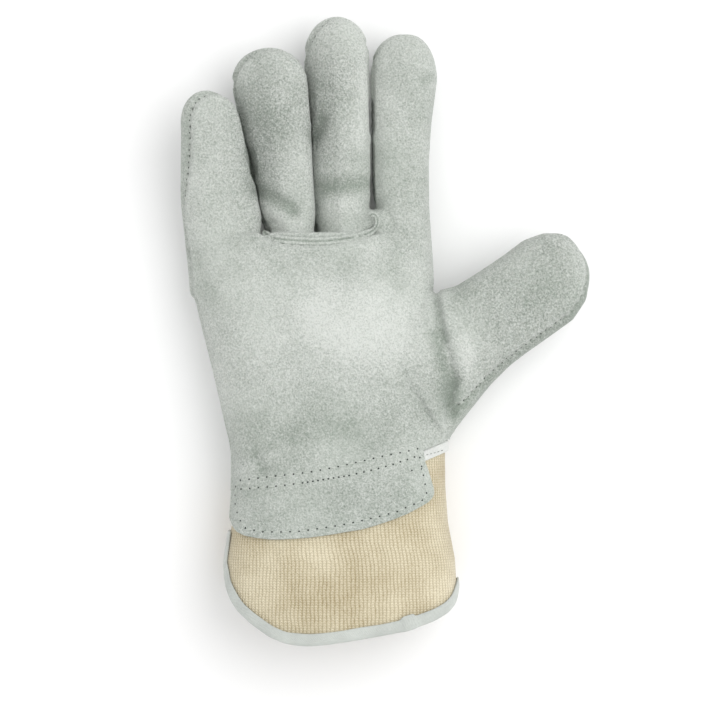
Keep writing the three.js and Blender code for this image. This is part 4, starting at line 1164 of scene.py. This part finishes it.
class GLOVE_OT_binding(bpy.types.Operator):
    """Folds the twill binding over the rim and both edges of the slit"""
    bl_idname = "glove.binding"
    bl_label = "Binding"

    def execute(self, context):
        settings = context.scene.glove_cuff
        slit = np.linspace(SLIT_TOP, -99.0, 16)
        down = np.stack([180 - slit_half_angle(slit), slit], axis=1)
        turns = np.linspace(174, -174, 340)
        around = np.stack([turns, rim_y(turns)], axis=1)
        back = down[::-1] * [-1, 1]
        path = np.concatenate([down, around, back])
        for _ in range(8):
            path[1:-1] = 0.25 * path[:-2] + 0.5 * path[1:-1] + 0.25 * path[2:]
        angle, y = path.T
        scale = degree_length(angle, y)
        way = np.stack([np.gradient(angle) * scale, np.gradient(y)], axis=1)
        way /= np.linalg.norm(way, axis=1, keepdims=True)
        x = sleeve_point(angle, y, 0.0)[:, 0]
        top_side = (angle > 20) & (angle < 160)
        lap = smoothstep(x, LAP_X[0], LAP_X[0] + 0.8) * top_side
        lap = lap * (1 - smoothstep(x, LAP_X[1] - 0.8, LAP_X[1]))
        ripple = 0.25 * value_noise(sleeve_point(angle, y, 0.0), 9, 31)
        inset = BINDING_PROFILE[:, 0]
        deep = BINDING_PROFILE[:, 1] * settings.binding_width / (5.2 * MM)
        edge = np.clip(deep / deep.max(), 0, 1)
        deep = deep[None] + edge * (ripple + 1.5 * lap)[:, None] - 0.25 * lap[:, None]
        inset = inset[None] - 0.6 * lap[:, None] * (inset < 2)[None]
        turn = angle[:, None] + way[:, 1:] * deep / scale[:, None]
        points = sleeve_point(turn, y[:, None] - way[:, :1] * deep, inset)
        points[..., 2] = np.maximum(points[..., 2], 0.0)
        arc = arc_length(points[:, 7])
        wide = np.linspace(0, 14, len(BINDING_PROFILE))
        uv = np.dstack([np.broadcast_to(wide, points.shape[:2]),
                        np.broadcast_to(arc[:, None], points.shape[:2])]) * MM
        piece = grid_sheet("binding", points, uv)
        apply_modifier(piece, "SUBSURF", levels=1, render_levels=1)
        apply_modifier(piece, "SOLIDIFY", thickness=0.8 * MM, offset=-1.0)
        finish_piece(piece, twill_tape("cotton twill binding", settings.binding), "twill_binding",
                     "cuff_binding")
        pieces["binding"] = piece
        return {"FINISHED"}


class GLOVE_OT_tape(bpy.types.Operator):
    """Runs the white tape from the patch round the thumb side of the wrist"""
    bl_idname = "glove.tape"
    bl_label = "Wrist tape"

    def execute(self, context):
        settings = context.scene.glove_cuff
        angle = np.linspace(52, -62, 90)
        x = sleeve_point(angle, WRIST_Y + 6, 0.0)[:, 0]
        top = np.interp(x, WRIST_LINE[:, 0], WRIST_LINE[:, 1]) - 0.2
        rows = np.array([(5.0, 1.35), (4.9, 0.7), (4.5, 0.35), (3.2, 0.3), (2.4, 0.42), (1.6, 0.3),
                         (0.6, 0.35), (0.15, 0.7), (0.1, 1.35)])
        points = sleeve_point(angle[None], top[None] - rows[:, :1], rows[:, 1:])
        arc = arc_length(points[3])
        uv = np.dstack([np.broadcast_to(arc, points.shape[:2]),
                        np.broadcast_to(rows[:, :1], points.shape[:2])]) * MM
        piece = grid_sheet("white_tape", points, uv)
        apply_modifier(piece, "SUBSURF", levels=1, render_levels=1)
        apply_modifier(piece, "SOLIDIFY", thickness=0.5 * MM, offset=-1.0)
        finish_piece(piece, twill_tape("white cotton tape", settings.tape), "white_tape",
                     "wrist_tape")
        pieces["tape"] = piece
        return {"FINISHED"}


# Stitch rows seen from above.
ROW_UPPER = [(-61.6, -64.8), (-53.8, -63.7), (-45.7, -62.6), (-37.9, -61.8), (-30.2, -60.7),
             (-19.0, -58.5), (-8.3, -56.0), (1.2, -53.8), (8.5, -52.5), (14.1, -51.2)]
ROW_LOWER = [(-61.3, -68.6), (-52.5, -67.6), (-44.4, -66.9), (-34.9, -65.6), (-25.5, -64.1),
             (-15.1, -62.4), (-3.5, -59.7), (3.8, -57.7), (7.4, -56.4), (12.8, -54.7)]
ROW_LEFT = [(-61.6, -64.8), (-63.5, -66.4), (-63.9, -69.3), (-64.0, -72.3), (-63.9, -75.1),
            (-63.4, -77.5), (-62.4, -80.5), (-61.0, -83.2), (-59.4, -85.0)]
ROW_FOOT = [(-59.4, -85.2), (-56.0, -85.8), (-53.0, -86.5), (-45.2, -86.5), (-35.8, -86.1),
            (-27.2, -84.8), (-18.8, -83.5), (-10.8, -81.8), (-3.1, -80.0), (5.1, -77.9),
            (8.5, -76.4), (13.2, -74.5), (17.1, -72.7), (18.1, -69.7), (17.1, -65.4),
            (16.3, -61.1), (15.6, -57.7), (15.0, -54.7), (14.1, -51.2)]
BAR_TACK = [(11.6, -60.4), (15.9, -59.8)]
TAPE_ROW = [(17.6, -53.9), (22.1, -52.9), (25.6, -51.9)]


def unit_bead(name):
    """One small rounded form, copied for every stitch and hole."""
    deselect_all()
    bpy.ops.mesh.primitive_uv_sphere_add(segments=8, ring_count=6, radius=0.5)
    bead = bpy.context.object
    bead.name = name
    return bead


def scatter(name, frames, size, material, slot):
    """Copies a bead to every frame, given as place, along and normal, at one size."""
    bead = unit_bead(name)
    shape = np.array([v.co for v in bead.data.vertices])
    faces = [tuple(p.vertices) for p in bead.data.polygons]
    bpy.data.objects.remove(bead)
    verts, polygons = [], []
    for place, along, normal, length in frames:
        along = along / np.linalg.norm(along)
        side = np.cross(normal, along)
        side /= np.linalg.norm(side)
        up = np.cross(along, side)
        scaled = shape * [length or size[0], size[1], size[2]]
        polygons += [tuple(i + len(verts) for i in f) for f in faces]
        verts += list((place + scaled @ np.array([along, side, up])) * MM)
    mesh = bpy.data.meshes.new(name)
    mesh.from_pydata(verts, [], polygons)
    mesh.polygons.foreach_set("use_smooth", np.ones(len(mesh.polygons), dtype=bool))
    piece = bpy.data.objects.new(name, mesh)
    bpy.context.scene.collection.objects.link(piece)
    finish_piece(piece, material, slot)
    return piece


def row_frames(line, pitch, lift):
    """Threads and holes along a row seen from above."""
    plan = resample(line, pitch)
    nodes = [on_leather(x, y) for x, y in plan]
    threads, holes = [], []
    for (a, na), (b, nb) in zip(nodes[:-1], nodes[1:]):
        normal = (na + nb) / 2
        along = b - a
        reach = np.linalg.norm(along)
        threads.append(((a + b) / 2 + normal * lift, along, normal, 0.66 * reach))
    for i, (a, na) in enumerate(nodes):
        near = nodes[min(i + 1, len(nodes) - 1)][0] - nodes[max(i - 1, 0)][0]
        holes.append((a + na * 0.05, near, na, None))
    return threads, holes


class GLOVE_OT_stitches(bpy.types.Operator):
    """Sews the stitch rows of the patch, the tape and the visible side seams"""
    bl_idname = "glove.stitches"
    bl_label = "Stitching"

    def execute(self, context):
        settings = context.scene.glove_stitch
        pitch, thick = settings.pitch / MM, settings.diameter / MM
        threads, holes = [], []
        for line, scale in ((ROW_UPPER, 1.0), (ROW_LEFT, 0.9), (ROW_FOOT, 1.0), (BAR_TACK, 0.8)):
            made = row_frames(line, pitch * scale, 0.08)
            threads += made[0]
            holes += made[1]
        for line, scale in ((ROW_LOWER[:4], 1.0), (ROW_LOWER[3:6], 0.55), (ROW_LOWER[5:], 0.85)):
            made = row_frames(line, pitch * scale, 0.08)
            threads += made[0]
            holes += made[1]
        seam_threads, seam_holes = [], []
        for run in seam_lines[SIDE]:
            line = smooth_line(run, 0.9, 2)
            if len(line) < 12:
                continue
            nodes = resample(line, 2.6)
            for a, b in zip(nodes[:-1], nodes[1:]):
                middle = (a + b) / 2
                little = middle[0] < -66 and middle[1] > 55
                tip = middle[1] > 112 and middle[0] < -2
                thumb = middle[0] > 32 and middle[1] < 5
                if not (little or tip or thumb):
                    continue
                place, normal = nearest_leather(middle)
                seam_threads.append((place + 0.1 * normal, b - a, normal, 1.7))
                place, normal = nearest_leather(a)
                seam_holes.append((place + 0.05 * normal, b - a, normal, None))
        thread = cotton_thread("cotton thread", settings.thread)
        hole = cotton_thread("leather in shadow", settings.hole)
        scatter("wrist_stitches", threads, (2.6, thick, 0.8 * thick), thread, "sewing_thread")
        scatter("wrist_needle_holes", holes, (0.85, 0.75, 0.3), hole, "split_leather")
        tape_threads = row_frames(TAPE_ROW, 1.7, -0.2)[0]
        scatter("tape_stitches", tape_threads, (1.3, 0.4, 0.4),
                cotton_thread("grey thread", [0.55 * c for c in settings.thread]),
                "sewing_thread")
        scatter("seam_stitches", seam_threads, (1.7, 0.8 * thick, 0.7 * thick), thread,
                "sewing_thread")
        scatter("seam_needle_holes", seam_holes, (0.75, 0.6, 0.3), hole, "split_leather")
        return {"FINISHED"}


def cotton_thread(name, base):
    """Spun cotton thread: a soft two-ply twist, matt, slightly uneven in tone."""
    made, tree, shader = surface(name, Roughness=0.8)
    place = add(tree, "ShaderNodeTexCoord").outputs["Object"]
    ply = add(tree, "ShaderNodeTexNoise", {"Vector": place, "Scale": 1 / (0.5 * MM)}).outputs["Fac"]
    tree.links.new(mix(tree, ply, [0.7 * c for c in base], list(base)),
                   shader.inputs["Base Color"])
    return made


class GLOVE_OT_stage(bpy.types.Operator):
    """Sets the floor, the lights and the camera"""
    bl_idname = "glove.stage"
    bl_label = "Stage"

    def execute(self, context):
        settings = context.scene.glove_stage
        deselect_all()
        bpy.ops.mesh.primitive_plane_add(size=6, location=(0, 0, -0.05 * MM))
        floor = context.object
        floor.name = "floor"
        made, tree, shader = surface("matt paper", Roughness=1.0)
        shader.inputs["Base Color"].default_value = (*settings.floor, 1)
        floor.data.materials.append(made)
        world = bpy.data.worlds.new("studio")
        context.scene.world = world
        world.use_nodes = True
        back = world.node_tree.nodes["Background"]
        back.inputs["Color"].default_value = (1, 1, 1, 1)
        back.inputs["Strength"].default_value = 0.88
        self.softbox("key", (0.75, 0.3, 1.25), 1.5, settings.key)
        self.softbox("fill", (-0.7, -0.5, 1.4), 1.2, 0.12 * settings.key)
        bpy.ops.object.camera_add(
            location=(-12.8 * MM, -11.0 * MM, settings.distance), rotation=(0, 0, 0))
        camera = context.object
        camera.data.sensor_width = 36
        camera.data.lens = 36 * (settings.distance - 0.025) / 0.3049
        camera.data.clip_end = 20
        context.scene.camera = camera
        context.scene.view_settings.view_transform = "Standard"
        return {"FINISHED"}

    def softbox(self, name, place, size, power):
        bpy.ops.object.light_add(type="AREA", location=place)
        light = bpy.context.object
        light.name = name
        light.data.shape = "DISK"
        light.data.size = size
        light.data.energy = power
        light.rotation_euler = Vector(place).to_track_quat("Z", "Y").to_euler()


class GLOVE_PT_panel(bpy.types.Panel):
    """Lists the pieces of the glove"""
    bl_idname = "GLOVE_PT_panel"
    # Shows the glove's settings and the buttons of its building steps
    bl_label = "Work glove"
    bl_space_type = "VIEW_3D"
    bl_region_type = "UI"
    bl_category = "Glove"

    def draw(self, context):
        for group in ("glove_leather", "glove_cuff", "glove_stitch", "glove_stage"):
            box = self.layout.box()
            values = getattr(context.scene, group)
            for key in values.__annotations__:
                box.prop(values, key)
        for operator in OPERATORS:
            self.layout.operator(operator.bl_idname)


GROUPS = {
    "glove_leather": LeatherSettings, "glove_cuff": CuffSettings,
    "glove_stitch": StitchSettings, "glove_stage": StageSettings,
}
OPERATORS = [
    GLOVE_OT_panels, GLOVE_OT_welt, GLOVE_OT_canvas, GLOVE_OT_binding, GLOVE_OT_tape,
    GLOVE_OT_stitches, GLOVE_OT_stage,
]


def register():
    for kind in [*GROUPS.values(), *OPERATORS, GLOVE_PT_panel]:
        bpy.utils.register_class(kind)
    for key, kind in GROUPS.items():
        setattr(bpy.types.Scene, key, bpy.props.PointerProperty(type=kind))


def unregister():
    for key in GROUPS:
        delattr(bpy.types.Scene, key)
    for kind in reversed([*GROUPS.values(), *OPERATORS, GLOVE_PT_panel]):
        bpy.utils.unregister_class(kind)


def main():
    register()
    bpy.ops.glove.panels()
    bpy.ops.glove.welt()
    bpy.ops.glove.canvas()
    bpy.ops.glove.binding()
    bpy.ops.glove.tape()
    bpy.ops.glove.stitches()
    bpy.ops.glove.stage()


if __name__ == "__main__":
    main()
